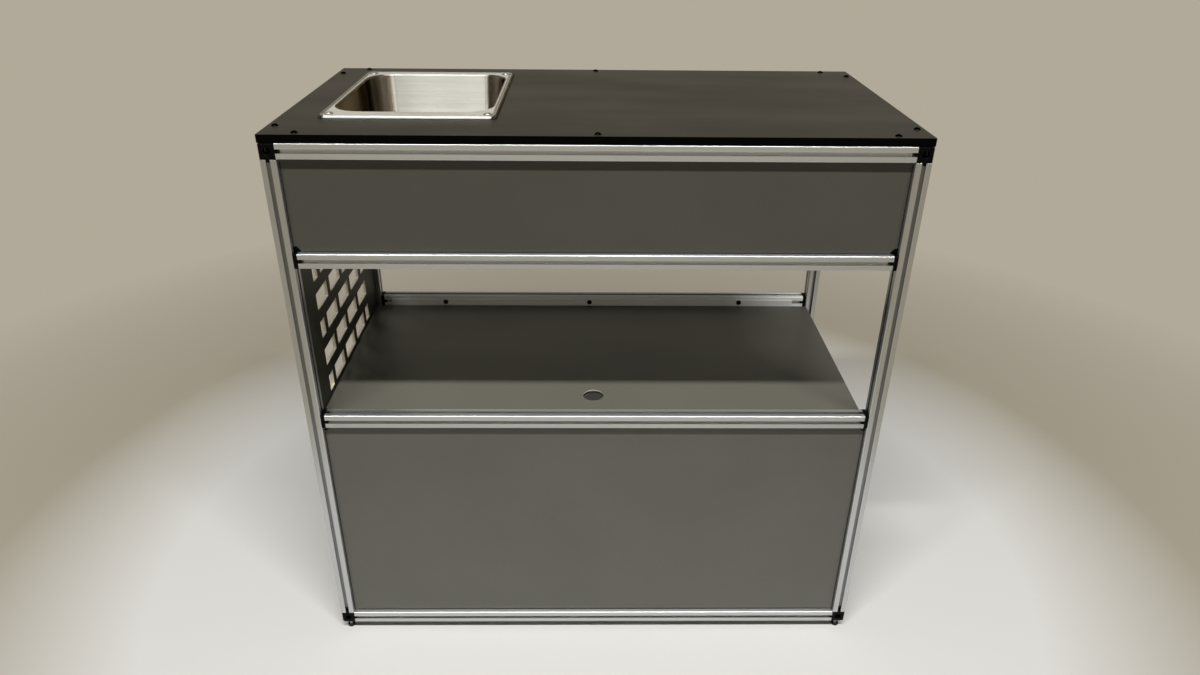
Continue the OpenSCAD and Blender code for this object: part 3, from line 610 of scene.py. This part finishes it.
def bar(node_name, along, centre, length):
    levels = chamfered(length, 0.12)
    bands = len(levels) - 1
    verts, faces, _ = prism(PROFILE, levels)
    side = (IN_SLOT * bands + [1] * BORE_STEPS * bands + [0] * len(faces))[:len(faces)]
    shape = moved((verts, faces, side), Matrix.Translation(centre) @ AXES[along])
    # The rear shelf rail takes the rougher copy with painted light
    outside = ROUGH_ALU_PAINTED_LIGHT if node_name == "rail_rear_shelf" else ALU[along]
    piece("fine_" + node_name, shape, outside, [node_name], smooth=40,
          edge_material=SHADED_SLOT[along])


# Posts, then the rails along X, then those along Y
SIDES = {"left": -1, "right": 1, "front": -1, "rear": 1, "bottom": -1, "top": 1}
for fb in ("front", "rear"):
    for lr in ("left", "right"):
        bar(f"post_{fb}_{lr}", 2, (SIDES[lr] * POST_X, SIDES[fb] * POST_Y, FOOT + H / 2), H - 2 * BAR)
LONG_LEN = W - 2 * BAR
MID_LEN = W - 2 * BAR - 2 * PLATE
for name, sy, z, length in [
        ("front_top", -1, TOP_RAIL, LONG_LEN), ("front_upper", -1, UPPER_RAIL, MID_LEN),
        ("front_shelf", -1, SHELF_RAIL, MID_LEN), ("front_bottom", -1, LOW_RAIL, LONG_LEN),
        ("rear_top", 1, TOP_RAIL, LONG_LEN), ("rear_shelf", 1, SHELF_RAIL, MID_LEN),
        ("rear_bottom", 1, LOW_RAIL, LONG_LEN)]:
    bar("rail_" + name, 0, (0, sy * POST_Y, z), length)
for lr in ("left", "right"):
    for tb, z in (("top", TOP_RAIL), ("bottom", LOW_RAIL)):
        bar(f"rail_{lr}_{tb}", 1, (SIDES[lr] * POST_X, 0, z), D - 2 * BAR)


# Tongue that fills a slot's mouth: an eased strip from x = 0
def tongue(length, t=6.2, w=6.1):
    strip = prism([round_rect(length + 1, w, 0.4, cx=length / 2 - 0.5, steps=2)], eased(t, 0.3, 2))
    return moved(strip, Matrix.Translation((0, 0, -HALF + 0.2 + t / 2)))


SWAP_XY = Matrix(((0, 1, 0, 0), (1, 0, 0, 0), (0, 0, 1, 0), (0, 0, 0, 1)))
SWAP_XZ = Matrix(((0, 0, 1, 0), (0, 1, 0, 0), (1, 0, 0, 0), (0, 0, 0, 1)))
SWAP_YZ = Matrix(((1, 0, 0, 0), (0, 0, 1, 0), (0, 1, 0, 0), (0, 0, 0, 1)))


# Corner cube whose bars leave towards +X, +Y and +Z: three round outer edges, the rest eased, three bores
def cube_shape():
    mesh = bpy.data.meshes.new("cube_blank")
    bm = bmesh.new()
    bmesh.ops.create_cube(bm, size=BAR)
    outer = [e for e in bm.edges
             if sum(1 for k in range(3) if all(v.co[k] < 0 for v in e.verts)) == 2]
    bmesh.ops.bevel(bm, geom=outer, offset=3.5, segments=8, affect="EDGES", profile=0.5)
    sharp = [e for e in bm.edges if len(e.link_faces) == 2 and e.calc_face_angle() > 1.2]
    bmesh.ops.bevel(bm, geom=sharp, offset=0.35, segments=2, affect="EDGES", profile=0.5)
    bm.to_mesh(mesh)
    bm.free()
    body = ([tuple(v.co) for v in mesh.vertices], [tuple(p.vertices) for p in mesh.polygons])
    r, screw_r, seat = 5.75, 2.9, HALF - 4.5
    bore = lathe([(0, -HALF - 2), (r + 2.4, -HALF - 2), (r + 0.4, -HALF), (r, -HALF + 0.4), (r, seat),
                  (screw_r, seat), (screw_r, HALF + 2), (0, HALF + 2)], 40)
    for tool in (moved(bore, Matrix.Rotation(math.pi / 2, 4, "Y")),
                 moved(bore, Matrix.Rotation(-math.pi / 2, 4, "X")), bore):
        body = carved("cube_blank", body, [tool])
    return body


def cube_tongues():
    rail, post = tongue(3.8), tongue(4.5)
    out = []
    to_face = Matrix.Translation((HALF, 0, 0))
    for swap in (Matrix.Identity(4), SWAP_YZ):
        out.append(moved(rail, to_face @ swap @ SWAP_YZ))
        out.append(moved(rail, SWAP_XY @ to_face @ swap @ SWAP_YZ))
        out.append(moved(post, SWAP_XZ @ to_face @ swap @ SWAP_YZ))
    return out


CUBE_SHAPE = joined([cube_shape()] + cube_tongues())
for tb in ("bottom", "top"):
    for fb in ("front", "rear"):
        for lr in ("left", "right"):
            flip = Matrix.Diagonal((-SIDES[lr], -SIDES[fb], -SIDES[tb], 1))
            z = TOP_RAIL if tb == "top" else LOW_RAIL
            name = f"cube_{tb}_{fb}_{lr}"
            shape = moved(CUBE_SHAPE, Matrix.Translation((SIDES[lr] * POST_X, SIDES[fb] * POST_Y, z)) @ flip)
            piece("fine_" + name, shape, CUBE, [name])


# End connector: eased plate, four tongues and a peg into the rail, hook in the post's slot
def connector_shape():
    plate = prism([round_rect(BAR, BAR, 1.2, steps=5)], raised(eased(PLATE, 0.3, 2), PLATE / 2))
    out = [moved(plate, AXES[0])]
    for a in range(4):
        turn = Matrix.Rotation(math.pi / 2 * a, 4, "X") @ Matrix.Translation((PLATE, 0, 0))
        out.append(moved(tongue(5), turn @ SWAP_YZ))
    peg_levels = [(0.3, PLATE - 1), (0, PLATE), (0, PLATE + 17), (0.6, PLATE + 18)]
    out.append(moved(prism([circle(2.5, steps=24)], peg_levels), AXES[0]))
    neck = prism([round_rect(3.4, 6.1, 0.2, cx=-0.7, steps=2)], eased(18, 0.3, 2))
    hook = prism([round_rect(1.3, 13.6, 0.2, cx=-3.05, steps=2)], eased(18, 0.3, 2))
    return joined(out + [neck, hook])


# The upper connectors show a rounded black lug in the relief of the panel's corner, partly a real lug and
# partly painted shade that fills the dark relief
CONNECTOR = connector_shape()
STAND_Y = Matrix(((1, 0, 0, 0), (0, 0, -1, 0), (0, 1, 0, 0), (0, 0, 0, 1)))
LUG_W, LUG_H, LUG_R, LUG_T = 11.0, 13.0, 4.5, 5.0
for name, sy, z in (("upper", -1, UPPER_RAIL), ("shelf", -1, SHELF_RAIL), ("rear", 1, SHELF_RAIL)):
    for lr in ("left", "right"):
        flip = Matrix.Diagonal((-SIDES[lr], 1, 1, 1))
        shape = moved(CONNECTOR, Matrix.Translation((SIDES[lr] * (HALF_W - BAR), sy * POST_Y, z)) @ flip)
        if name == "upper":
            lug_x, lug_z = SIDES[lr] * (HALF_W - BAR - 6.0), z + HALF + 3.5
            lug = prism([round_rect(LUG_W, LUG_H, LUG_R, cx=lug_x, cy=lug_z, steps=6)], eased(LUG_T, 0.5, 2))
            shape = joined([shape, moved(lug, Matrix.Translation((0, sy * POST_Y, 0)) @ STAND_Y)])
        piece(f"fine_connector_{name}_{lr}", shape, CUBE, [f"connector_{name}_{lr}"])


# Panel with a round relief at each corner; w and h are the clear opening
def relief_panel(w, h, low_r, high_r):
    gw, gh = w / 2 + GRIP, h / 2 + GRIP
    pts = []
    for k, (sx, sy, r) in enumerate([(1, 1, high_r), (-1, 1, high_r), (-1, -1, low_r), (1, -1, low_r)]):
        start = {0: 270, 1: 0, 2: 90, 3: 180}[k]
        pts += arc(sx * gw, sy * gh, r, start, start - 90, 10)
    return pts


# Thin black strips on a panel's face along the edges where it enters the slots of the bars round it
def black_edge_strips(w, h, low_r, high_r, lip=1.3, thick=0.7, clear=1.5, gap=0.05):
    strips = []
    for sy, r in ((-1, low_r), (1, high_r)):
        strips.append(round_rect(w - 2 * (r - GRIP + clear), lip, 0.3, cy=sy * (h / 2 - lip / 2 - gap),
                                 steps=2))
    low, high = -h / 2 + low_r - GRIP + clear, h / 2 - high_r + GRIP - clear
    for sx in (-1, 1):
        strips.append(round_rect(lip, high - low, 0.3, cx=sx * (w / 2 - lip / 2 - gap), cy=(low + high) / 2,
                                 steps=2))
    return joined([prism([strip], eased(thick, 0.2, 2)) for strip in strips])


# The relief is wider at a connector than at a cube
AT_CUBE, AT_CONNECTOR = 11, 19
STRIP_OUT = 0.4
for name, low, high, low_r, high_r, finish in [
        ("panel_upper_front", UPPER_RAIL, TOP_RAIL, AT_CONNECTOR, AT_CUBE, PANEL),
        ("panel_lower_front", LOW_RAIL, SHELF_RAIL, AT_CUBE, AT_CONNECTOR, PANEL_PAINTED_BOUNCE)]:
    opening = (LONG_LEN, high - low - BAR, low_r, high_r)
    shape = prism([relief_panel(*opening)], eased(PANEL_T, 0.25, 2))
    shape = moved(shape, Matrix.Translation((0, -POST_Y, (low + high) / 2)) @ STAND_Y)
    piece("fine_" + name, shape, finish, [name], edge_material=FRONT_EDGE)
    black_strips = moved(black_edge_strips(*opening),
                 Matrix.Translation((0, -POST_Y - PANEL_T / 2 - STRIP_OUT, (low + high) / 2)) @ STAND_Y)
    piece("black_strip_" + name, black_strips, RUBBER)

shape = prism([relief_panel(LONG_LEN, D - 2 * BAR, AT_CUBE, AT_CUBE)], eased(PANEL_T, 0.25, 2))
shape = moved(shape, Matrix.Translation((0, 0, LOW_RAIL)))
piece("fine_floor_panel", shape, FLOOR_FACE, ["floor_panel"], edge_material=FLOOR_EDGE)


# Brick pattern of cutouts in the left panel, six rows of them, with webs between
def brick_holes():
    cut_w, cut_h, web_w, web_h, r = 66.0, 32.0, 16.0, 23.2, 1.5
    over_lid = 7
    pitch = cut_w + web_w
    whole = 4 * pitch - web_w
    half = (cut_w - web_w) / 2
    holes = []
    for row in range(6):
        y = LID_TOP + over_lid + row * (cut_h + web_h) + cut_h / 2
        if row % 2:
            spans = [(i * pitch + cut_w / 2, cut_w) for i in range(4)]
        else:
            spans = [((i + 0.5) * pitch + cut_w / 2, cut_w) for i in range(3)]
            spans += [(half / 2, half), (whole - half / 2, half)]
        holes += [round_rect(wide, cut_h, r, cx=x - whole / 2, cy=y, steps=4, hole=True) for x, wide in spans]
    return holes


side_outline = [(x, y + FOOT + H / 2) for x, y in relief_panel(D - 2 * BAR, H - 2 * BAR, AT_CUBE, AT_CUBE)]
shape = prism([side_outline] + brick_holes(), eased(PANEL_T, 0.3, 2))
piece("fine_panel_left", moved(shape, Matrix.Translation((-POST_X, 0, 0)) @ AXES[0]), SIDE,
      ["panel_left"], edge_material=SIDE_EDGE)

# Worktop with its sink cut-out and screw holes
SCREW_FROM_SIDE, SCREW_FROM_FRONT, SCREW_HOLE_R, SINK_PLAY = 54.6, 54, 3.25, 4
TOP_SCREWS = [(sx * (HALF_W - SCREW_FROM_SIDE), sy * POST_Y) for sx in (-1, 0, 1) for sy in (-1, 1)]
TOP_SCREWS += [(sx * POST_X, sy * (HALF_D - SCREW_FROM_FRONT)) for sx in (-1, 1) for sy in (-1, 1)]
holes = [circle(SCREW_HOLE_R, x, y, 24, hole=True) for x, y in TOP_SCREWS]
holes.append(round_rect(BOWL_W + SINK_PLAY, BOWL_D + SINK_PLAY, BOWL_R, cx=SINK_X, cy=BOWL_Y, steps=16,
                        hole=True))
top_levels = [(o, z + TOP_Z - TOP_T / 2) for o, z in eased(TOP_T, 0.5)]
shape = prism([round_rect(W, D, 1.5, steps=5)] + holes, top_levels)
piece("fine_worktop", shape, TOP, ["worktop"], edge_material=TOP_EDGE)

# Lid with its finger hole
FINGER_R, FINGER_FROM_FRONT = 19.05, 69
lid_hole = circle(FINGER_R, LID_C, -LID_REAR + FINGER_FROM_FRONT, 64, hole=True)
lid_outline = round_rect(LID_RIGHT - LID_LEFT, 2 * LID_REAR, 2, cx=LID_C, steps=5)
shape = prism([lid_outline, lid_hole], [(o, z + LID_TOP - LID_T / 2) for o, z in eased(LID_T, 0.35)])
piece("fine_lid", shape, LID, ["lid"], body="lid", edge_material=LID_EDGE)

# Cleats: angles with a small root fillet, whose upright leg stands on the shelf rail's inner face
CLEAT_XS = [LID_C + x for x in (-333, -7, 333)]
for name, sy in (("front", -1), ("rear", 1)):
    b, t, leg, low = CLEAT_BACK, CLEAT_T, CLEAT_LEG, CLEAT_TOP - CLEAT_T
    root = arc(b - t - 2.0, low + t + 2.0, 2.0, 0, -90, 5)
    section = [(b, low), (b, low + leg)] + arc(b - t + 0.6, low + leg - 0.6, 0.6, 90, 180, 3) + root + \
        arc(b - leg + 0.6, low + t - 0.6, 0.6, 90, 180, 3) + [(b - leg, low)]
    shape = prism([section], chamfered(2 * CLEAT_HALF, 0.2))
    mirror = Matrix.Diagonal((1, sy, 1, 1))
    shape = moved(shape, mirror @ Matrix.Translation((LID_C, 0, 0)) @ AXES[0])
    # The cleats take the rougher aluminium with painted light, as they lie in shade
    piece("fine_cleat_" + name, shape, ROUGH_ALU_PAINTED_LIGHT, ["cleat_" + name], smooth=40)


# Height of a dome over a head's underside, at x from its axis
def dome_z(x, head, high):
    r = ((head / 2) ** 2 + high ** 2) / (2 * high)
    return high - r + math.sqrt(r * r - x * x)


# Domed head over z = 0 with a hexagon socket, and its shank
def button(length, shank=6.0, head=HEAD_D, high=HEAD_H, key=4.1, deep=1.7, steps=48):
    rings = [around(head / 2, z, steps) for z in (0.0, 0.35)]
    outer = head / 2 - 0.12
    inner = key / 2 / math.cos(math.pi / 6) + 0.25
    for k in range(8):
        x = outer + (inner - outer) * k / 7
        rings.append(around(x, dome_z(x, head, high) + 0.02, steps))
    hexed = []
    for i in range(steps):
        a = 2 * math.pi * i / steps
        local = (a + math.pi / 6) % (math.pi / 3) - math.pi / 6
        hexed.append((key / 2 / math.cos(local), a))
    edge_z = dome_z(inner, head, high)
    for grow, z in ((0.06, edge_z), (0.0, edge_z - 0.1), (0.0, high - deep)):
        rings.append([((x + grow) * math.cos(a), (x + grow) * math.sin(a), z) for x, a in hexed])
    verts, faces = loft(rings)
    last = (len(rings) - 1) * steps
    verts.append((0, 0, high - deep - 0.5))
    faces += [(last + i, last + (i + 1) % steps, len(verts) - 1) for i in range(steps)]
    faces.append(tuple(range(steps))[::-1])
    return joined([(verts, faces), lathe(thread(shank / 2, -length, 0.0, 1.0), 24)])


# Profile of a threaded shank from its end up to a height
def thread(r, low, high, pitch, deep=0.3):
    out = [(0, low), (r - 0.8, low), (r - deep, low + 0.5)]
    z = low + 0.5
    while z + pitch < high:
        out += [(r, z + pitch * 0.45), (r, z + pitch * 0.55), (r - deep, z + pitch)]
        z += pitch
    return out + [(r - deep, high), (0, high)]


# Stands a screw at a point, turned about its axis and laid over by the base matrix
def at(x, y, z, turn=0.0, base=None):
    m = Matrix.Translation((x, y, z))
    return m @ (base or Matrix.Identity(4)) @ Matrix.Rotation(turn, 4, "Z")


BITE = 6.0
top_button = button(TOP_T + BITE)
shapes = [moved(top_button, at(x, y, TOP_Z, rng.uniform(0, 1))) for x, y in TOP_SCREWS]
piece("fine_worktop_screws", joined(shapes), OXIDE, ["worktop_screws"])

cleat_button = button(CLEAT_T + BITE)
shapes = []
for sy in (-1, 1):
    base = Matrix.Rotation(sy * math.pi / 2, 4, "X")
    y = sy * (CLEAT_BACK - CLEAT_T)
    shapes += [moved(cleat_button, at(x, y, SHELF_RAIL, rng.uniform(0, 1), base)) for x in CLEAT_XS]
piece("fine_cleat_screws", joined(shapes), OXIDE, ["cleat_screws"])


# Sink: rings of points from the rolled rim over the flange, down the walls and over the floor to the drain
def ring(w, d, r, cy, z, corner=12, straight=10):
    pts = []
    corners = [(1, 1), (-1, 1), (-1, -1), (1, -1)]
    for k, (sx, sy) in enumerate(corners):
        a = arc(SINK_X + sx * (w / 2 - r), cy + sy * (d / 2 - r), r, 90 * k, 90 * k + 90, corner)
        pts += a
        nx, ny = corners[(k + 1) % 4]
        b = arc(SINK_X + nx * (w / 2 - r), cy + ny * (d / 2 - r), r, 90 * k + 90, 90 * k + 180, corner)[0]
        pts += [(a[-1][0] + (b[0] - a[-1][0]) * t / straight, a[-1][1] + (b[1] - a[-1][1]) * t / straight)
                for t in range(1, straight)]
    return [(x, y, z) for x, y in pts]


# Ring of the bowl at a distance outside its mouth, or inside it where that is negative
def bowl_ring(off, r, z):
    return ring(BOWL_W + 2 * off, BOWL_D + 2 * off, r, BOWL_Y, z)


def sink_rings():
    bead_end, mouth_r, floor_r, taper, drain_r = 8.4, 3.6, 22.0, 6.0, 25.0
    rings = []
    for k in range(9):
        a = math.radians(180 - 15 * k)
        off = BEAD_R + BEAD_R * math.cos(a)
        z = TOP_Z + 0.12 + BEAD_R * math.sin(a)
        rings.append(ring(SINK_W - 2 * off, SINK_D - 2 * off, RIM_R - off * 0.8, SINK_Y, z))
    inner = ring(SINK_W - 2 * bead_end, SINK_D - 2 * bead_end, RIM_R - 4, SINK_Y, FLANGE_TOP)
    outer = bowl_ring(mouth_r, BOWL_R + mouth_r, FLANGE_TOP)
    for k in range(5):
        t = k / 4
        rings.append([tuple(a[i] + (b[i] - a[i]) * t for i in range(3)) for a, b in zip(inner, outer)])
    for k in range(1, 7):
        a = math.radians(90 * k / 6)
        off = mouth_r * (1 - math.sin(a))
        rings.append(bowl_ring(off, BOWL_R + off, FLANGE_TOP - mouth_r * (1 - math.cos(a))))
    deep = FLANGE_TOP - BOWL_FLOOR
    for k in range(1, 9):
        z = FLANGE_TOP - mouth_r - (deep - mouth_r - floor_r) * k / 8
        off = taper * (FLANGE_TOP - z) / deep
        rings.append(bowl_ring(-off, BOWL_R - off * 0.5, z))
    wall = taper * (deep - floor_r) / deep
    for k in range(1, 9):
        a = math.radians(90 * k / 8)
        turn = floor_r * (1 - math.cos(a))
        z = BOWL_FLOOR + floor_r * (1 - math.sin(a))
        rings.append(bowl_ring(-(wall + turn), BOWL_R - 3 - turn * 0.9, z))
    last = rings[-1]
    for k in range(1, 7):
        t = k / 6
        row = []
        for x, y, z in last:
            v = Vector((x - SINK_X, y - BOWL_Y))
            hole = v.normalized() * drain_r
            row.append((SINK_X + v.x + (hole.x - v.x) * t, BOWL_Y + v.y + (hole.y - v.y) * t, z))
        rings.append(row)
    return rings


piece("fine_sink_basin", loft(sink_rings()), SINK, ["sink_basin"], smooth=50, sheet=STEEL)


# Sink screws: domed heads with a cross recess, each on a thin black ring that is painted shade and dark
# reflection round the head
def cross_screw():
    r, high, lip = 6.0, 2.7, 0.45
    dome = [(0, -1.0), (2.0, -1.0), (2.0, -0.2), (r - 0.2, 0.0), (r, 0.15), (r, lip)]
    for deg in range(10, 90, 10):
        a = math.radians(deg)
        dome.append((r * math.cos(a) ** 0.7, lip + (high - lip) * math.sin(a) ** 0.9))
    body = lathe(dome + [(0, high)], 48)
    long, half = 2.9, 0.62
    arm = prism([[(-long, -half), (long, -half), (long, half), (-long, half)]],
                [(0.45, high - 1.9), (0.0, high - 0.2), (-0.1, high + 1)])
    for k in range(2):
        body = carved("cross_screw", body, [moved(arm, Matrix.Rotation(math.pi / 2 * k, 4, "Z"))])
    return joined([body, lathe(thread(2.0, -14.0, -0.5, 1.4, 0.4), 20)])


SINK_SCREWS = [(SINK_X + sx * (SINK_W / 2 - 16), SINK_Y + y) for sx in (-1, 1)
               for y in (-SINK_D / 2 + 18, SINK_D / 2 - 17)]
screw = cross_screw()
shapes = [moved(screw, at(x, y, FLANGE_TOP, rng.uniform(0, 1.5))) for x, y in SINK_SCREWS]
# Thin black ring under each head: painted shade and dark reflection round the head
shade_ring = lathe([(6.3, 0.02), (7.3, 0.02), (7.3, 0.3), (7.1, 0.4), (6.3, 0.4), (6.3, 0.02)], 40)
for x, y in SINK_SCREWS:
    verts, faces = moved(shade_ring, at(x, y, FLANGE_TOP))
    shapes.append((verts, faces, [1] * len(faces)))
piece("fine_sink_screws", joined(shapes), BRIGHT, ["sink_screws"], smooth=30,
      edge_material=RUBBER)

# Drain: strainer, gasket, locknut, tail nut and tailpiece, turned about the bowl's middle
def under_bowl(name, shape, material):
    piece("fine_" + name, moved(shape, Matrix.Translation((SINK_X, BOWL_Y, 0))), material, [name])


# The same shape a number of times round the axis
def repeated(shape, times):
    return [moved(shape, Matrix.Rotation(2 * math.pi / times * i, 4, "Z")) for i in range(times)]


SHEET = 1.6
CUP_R = 24.5
IN_R = CUP_R - SHEET
SPIGOT_R = 19 - 1.5
BORE = SPIGOT_R - SHEET
HOLES_AT = 0.58
top = BOWL_FLOOR
strainer = lathe([(BORE, SPIGOT_END), (SPIGOT_R, SPIGOT_END), (SPIGOT_R, CUP_LOW), (CUP_R, CUP_LOW),
                  (CUP_R, top + 0.05), (33.5, top + 0.05), (33.4, top + 0.5), (32.4, top + 1.2),
                  (30.0, top + 1.4), (IN_R + 2, top + 1.2), (IN_R + 0.6, top + 0.4), (IN_R, top - 1),
                  (IN_R, CUP_LOW + 2.6), (IN_R - 1, CUP_LOW + 1.6), (0, CUP_LOW + 1.6)], 64)
bottom = lathe([(0, CUP_LOW), (BORE, CUP_LOW), (BORE, SPIGOT_END)], 64)
drill = lathe([(0, CUP_LOW - 2), (BORE / 4, CUP_LOW - 2), (BORE / 4, CUP_LOW + 4), (0, CUP_LOW + 4)], 24)
holes = []
for i in range(7):
    ring_r = HOLES_AT * BORE if i else 0.0
    a = math.pi / 3 * (i - 1)
    holes.append(moved(drill, Matrix.Translation((ring_r * math.cos(a), ring_r * math.sin(a), 0))))
body = joined([strainer, bottom])
under_bowl("drain_strainer", carved("strainer", body, holes), BRIGHT)

top = BOWL_FLOOR - STEEL
gasket = [(24.6, top - 3), (32.0, top - 3), (32.5, top - 2.4), (32.5, top - 0.5), (32.1, top), (24.6, top),
          (24.6, top - 3)]
under_bowl("drain_gasket", lathe(gasket, 64), RUBBER)
low, high = top - 11, top - 3.05
lug = prism([round_rect(4.4, 5, 0.8, cx=33.6, steps=3)], raised(eased(7.9, 0.6), (low + high) / 2))
locknut = [(24.6, low), (31.5, low), (32.5, low + 1), (32.5, high - 0.5), (32, high), (24.6, high),
           (24.6, low)]
under_bowl("drain_locknut", joined([lathe(locknut, 64)] + repeated(lug, 8)), BLACK)
low, high = SPIGOT_END - 7, CUP_LOW - 1
rib = prism([circle(1.35, 22.5, 0, 12)], raised(eased(high - low, 0.5, 2), (low + high) / 2))
tail_nut = [(19.5, low), (21.7, low), (22.5, low + 0.8), (22.5, high - 0.8), (21.7, high), (20.15, high),
            (20.15, low + 3), (19.5, low + 3), (19.5, low)]
under_bowl("drain_tail_nut", joined([lathe(tail_nut, 64)] + repeated(rib, 12)), BLACK)
top, tail = SPIGOT_END, SPIGOT_END - 26
tailpiece = [(17.4, tail), (18.6, tail), (19.0, tail + 0.5), (19.0, top - 7), (19.4, top - 6.9),
             (19.4, top - 4), (20.1, top - 4), (20.1, top - 0.05), (15.9, top - 0.05), (15.9, top - 2),
             (17.4, top - 4), (17.4, tail)]
under_bowl("drain_tailpiece", lathe(tailpiece, 64), WHITE)

# Feet: turned rubber pads and threaded studs, each pair on its own body
pad = lathe([(0, 0), (6.4, 0), (6.8, 0.2), (7.0, 0.7), (7.0, 3.6), (6.7, 4.4), (6.0, 4.9), (5.2, 5.0),
             (3.6, 4.8), (3.0, 4.6), (3.0, 1.6), (0, 1.6)], 48)
stud = lathe(thread(3.0, 1.65, 30.0, 1.0, 0.35), 32)
for fb in ("front", "rear"):
    for lr in ("left", "right"):
        corner = f"{fb}_{lr}"
        spot = Matrix.Translation((SIDES[lr] * POST_X, SIDES[fb] * POST_Y, 0))
        piece("fine_pad_" + corner, moved(pad, spot), RUBBER, ["pad_" + corner],
              body="foot_" + corner)
        piece("fine_stud_" + corner, moved(stud, spot), ZINC, ["stud_" + corner],
              body="foot_" + corner)

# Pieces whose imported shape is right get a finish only
KEPT = {"cube_screws": OXIDE, "slot_nuts": ZINC, "foot_bushes": ZINC, "sink_gasket": RUBBER}
for name, material in KEPT.items():
    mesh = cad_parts[name].data
    mesh.materials.clear()
    mesh.materials.append(material)


# A colour for the camera, one for reflections and a dimmer one for the light that reaches the object
def seen_or_lit(tree, seen, mirrored, lit):
    path = node(tree, "ShaderNodeLightPath")
    glossy = either(tree, path.outputs["Is Glossy Ray"], lit, mirrored)
    through = either(tree, path.outputs["Is Transmission Ray"], glossy, seen)
    return either(tree, path.outputs["Is Camera Ray"], through, seen)


BACKDROP = (0.44, 0.4, 0.32)
AMBIENT = (0.07, 0.068, 0.06)
CEILING = (0.09, 0.086, 0.08)


# Floor: a wide disc, near white round the object and the backdrop's tone further out; distances in metres
def floor_disc(radius=14000.0, rings=6, steps=64):
    verts = [(0.0, 0.0, 0.0)]
    for k in range(1, rings + 1):
        verts += [(x, y, 0.0) for x, y in circle(radius * (k / rings) ** 2, steps=steps)]
    faces = [(0, 1 + i, 1 + (i + 1) % steps) for i in range(steps)]
    for k in range(rings - 1):
        a, b = 1 + k * steps, 1 + (k + 1) * steps
        faces += [(a + i, b + i, b + (i + 1) % steps, a + (i + 1) % steps) for i in range(steps)]
    return verts, faces


FLOOR = (0.8, 0.79, 0.775)
TONE_FROM, TONE_TO = 0.95, 1.35
FADE_FROM, FADE_TO = 1.4, 2.3
floor_mat, tree, shader = new_material("floor", FLOOR, 0.75, specular=0.1)
reach = node(tree, "ShaderNodeVectorMath", operation="LENGTH")
tree.links.new(coords(tree), reach.inputs[0])
distance = reach.outputs["Value"]
outward = remap(tree, distance, 0, 1, TONE_FROM, TONE_TO)
tree.links.new(blend_color(tree, outward, FLOOR, BACKDROP, 0.0, 1.0), shader.inputs["Base Color"])
far = node(tree, "ShaderNodeEmission")
tree.links.new(seen_or_lit(tree, BACKDROP, BACKDROP, AMBIENT), far.inputs["Color"])
fade = node(tree, "ShaderNodeMixShader")
tree.links.new(remap(tree, distance, 0, 1, FADE_FROM, FADE_TO), fade.inputs[0])
tree.links.new(shader.outputs[0], fade.inputs[1])
tree.links.new(far.outputs[0], fade.inputs[2])
tree.links.new(fade.outputs[0], tree.nodes["Material Output"].inputs["Surface"])
floor_mesh = to_mesh("floor", floor_disc(), 60)
floor_mesh.materials.append(floor_mat)
floor = bpy.data.objects.new("floor", floor_mesh)
scene.collection.objects.link(floor)


# One long lamp under the ceiling, in front of the object, and a dim room
LAMP_AT, LAMP_AIM = Vector((0.0, -2.95, 6.2)), Vector((0.0, 0.0, 0.5))
lamp_data = bpy.data.lights.new("ceiling_strip", "AREA")
lamp_data.shape = "RECTANGLE"
lamp_data.size, lamp_data.size_y = 5.6, 0.3
lamp_data.energy = 465
lamp_data.color = (1.0, 0.99, 0.96)
lamp = bpy.data.objects.new("ceiling_strip", lamp_data)
scene.collection.objects.link(lamp)
lamp.location = LAMP_AT
lamp.rotation_mode = "QUATERNION"
lamp.rotation_quaternion = (LAMP_AIM - LAMP_AT).to_track_quat("-Z", "Y")
lamp.visible_camera = False

world = bpy.data.worlds.new("room")
scene.world = world
world.use_nodes = True
tree = world.node_tree
back = tree.nodes["Background"]
rise = split_axes(tree, node(tree, "ShaderNodeTexCoord").outputs["Generated"])[2]
mirrored = either(tree, remap(tree, rise, 0, 1, 0.35, 0.8), BACKDROP, CEILING)
tree.links.new(seen_or_lit(tree, BACKDROP, mirrored, AMBIENT), back.inputs["Color"])
back.inputs["Strength"].default_value = 1.0

# Camera fitted to the photo: its angles are in degrees, and at zero it looks along +Y
PITCH, ROLL, YAW = -27.918, -0.572, -0.913
CAMERA_AT = (-0.0141, -1.5192, 1.3387)
camera = bpy.data.cameras.new("camera")
camera.sensor_width = 36.0
camera.lens = 25.5655
cam = bpy.data.objects.new("camera", camera)
scene.collection.objects.link(cam)
pitch, roll, yaw = (math.radians(v) for v in (PITCH, ROLL, YAW))
turn = Matrix.Rotation(yaw, 3, "Z") @ Matrix.Rotation(pitch, 3, "X") @ Matrix.Rotation(roll, 3, "Y")
right, forward, up = (turn @ Vector(v) for v in ((1, 0, 0), (0, 1, 0), (0, 0, 1)))
facing = Matrix((right, up, -forward)).transposed().to_4x4()
cam.matrix_world = Matrix.Translation(CAMERA_AT) @ facing
scene.camera = cam
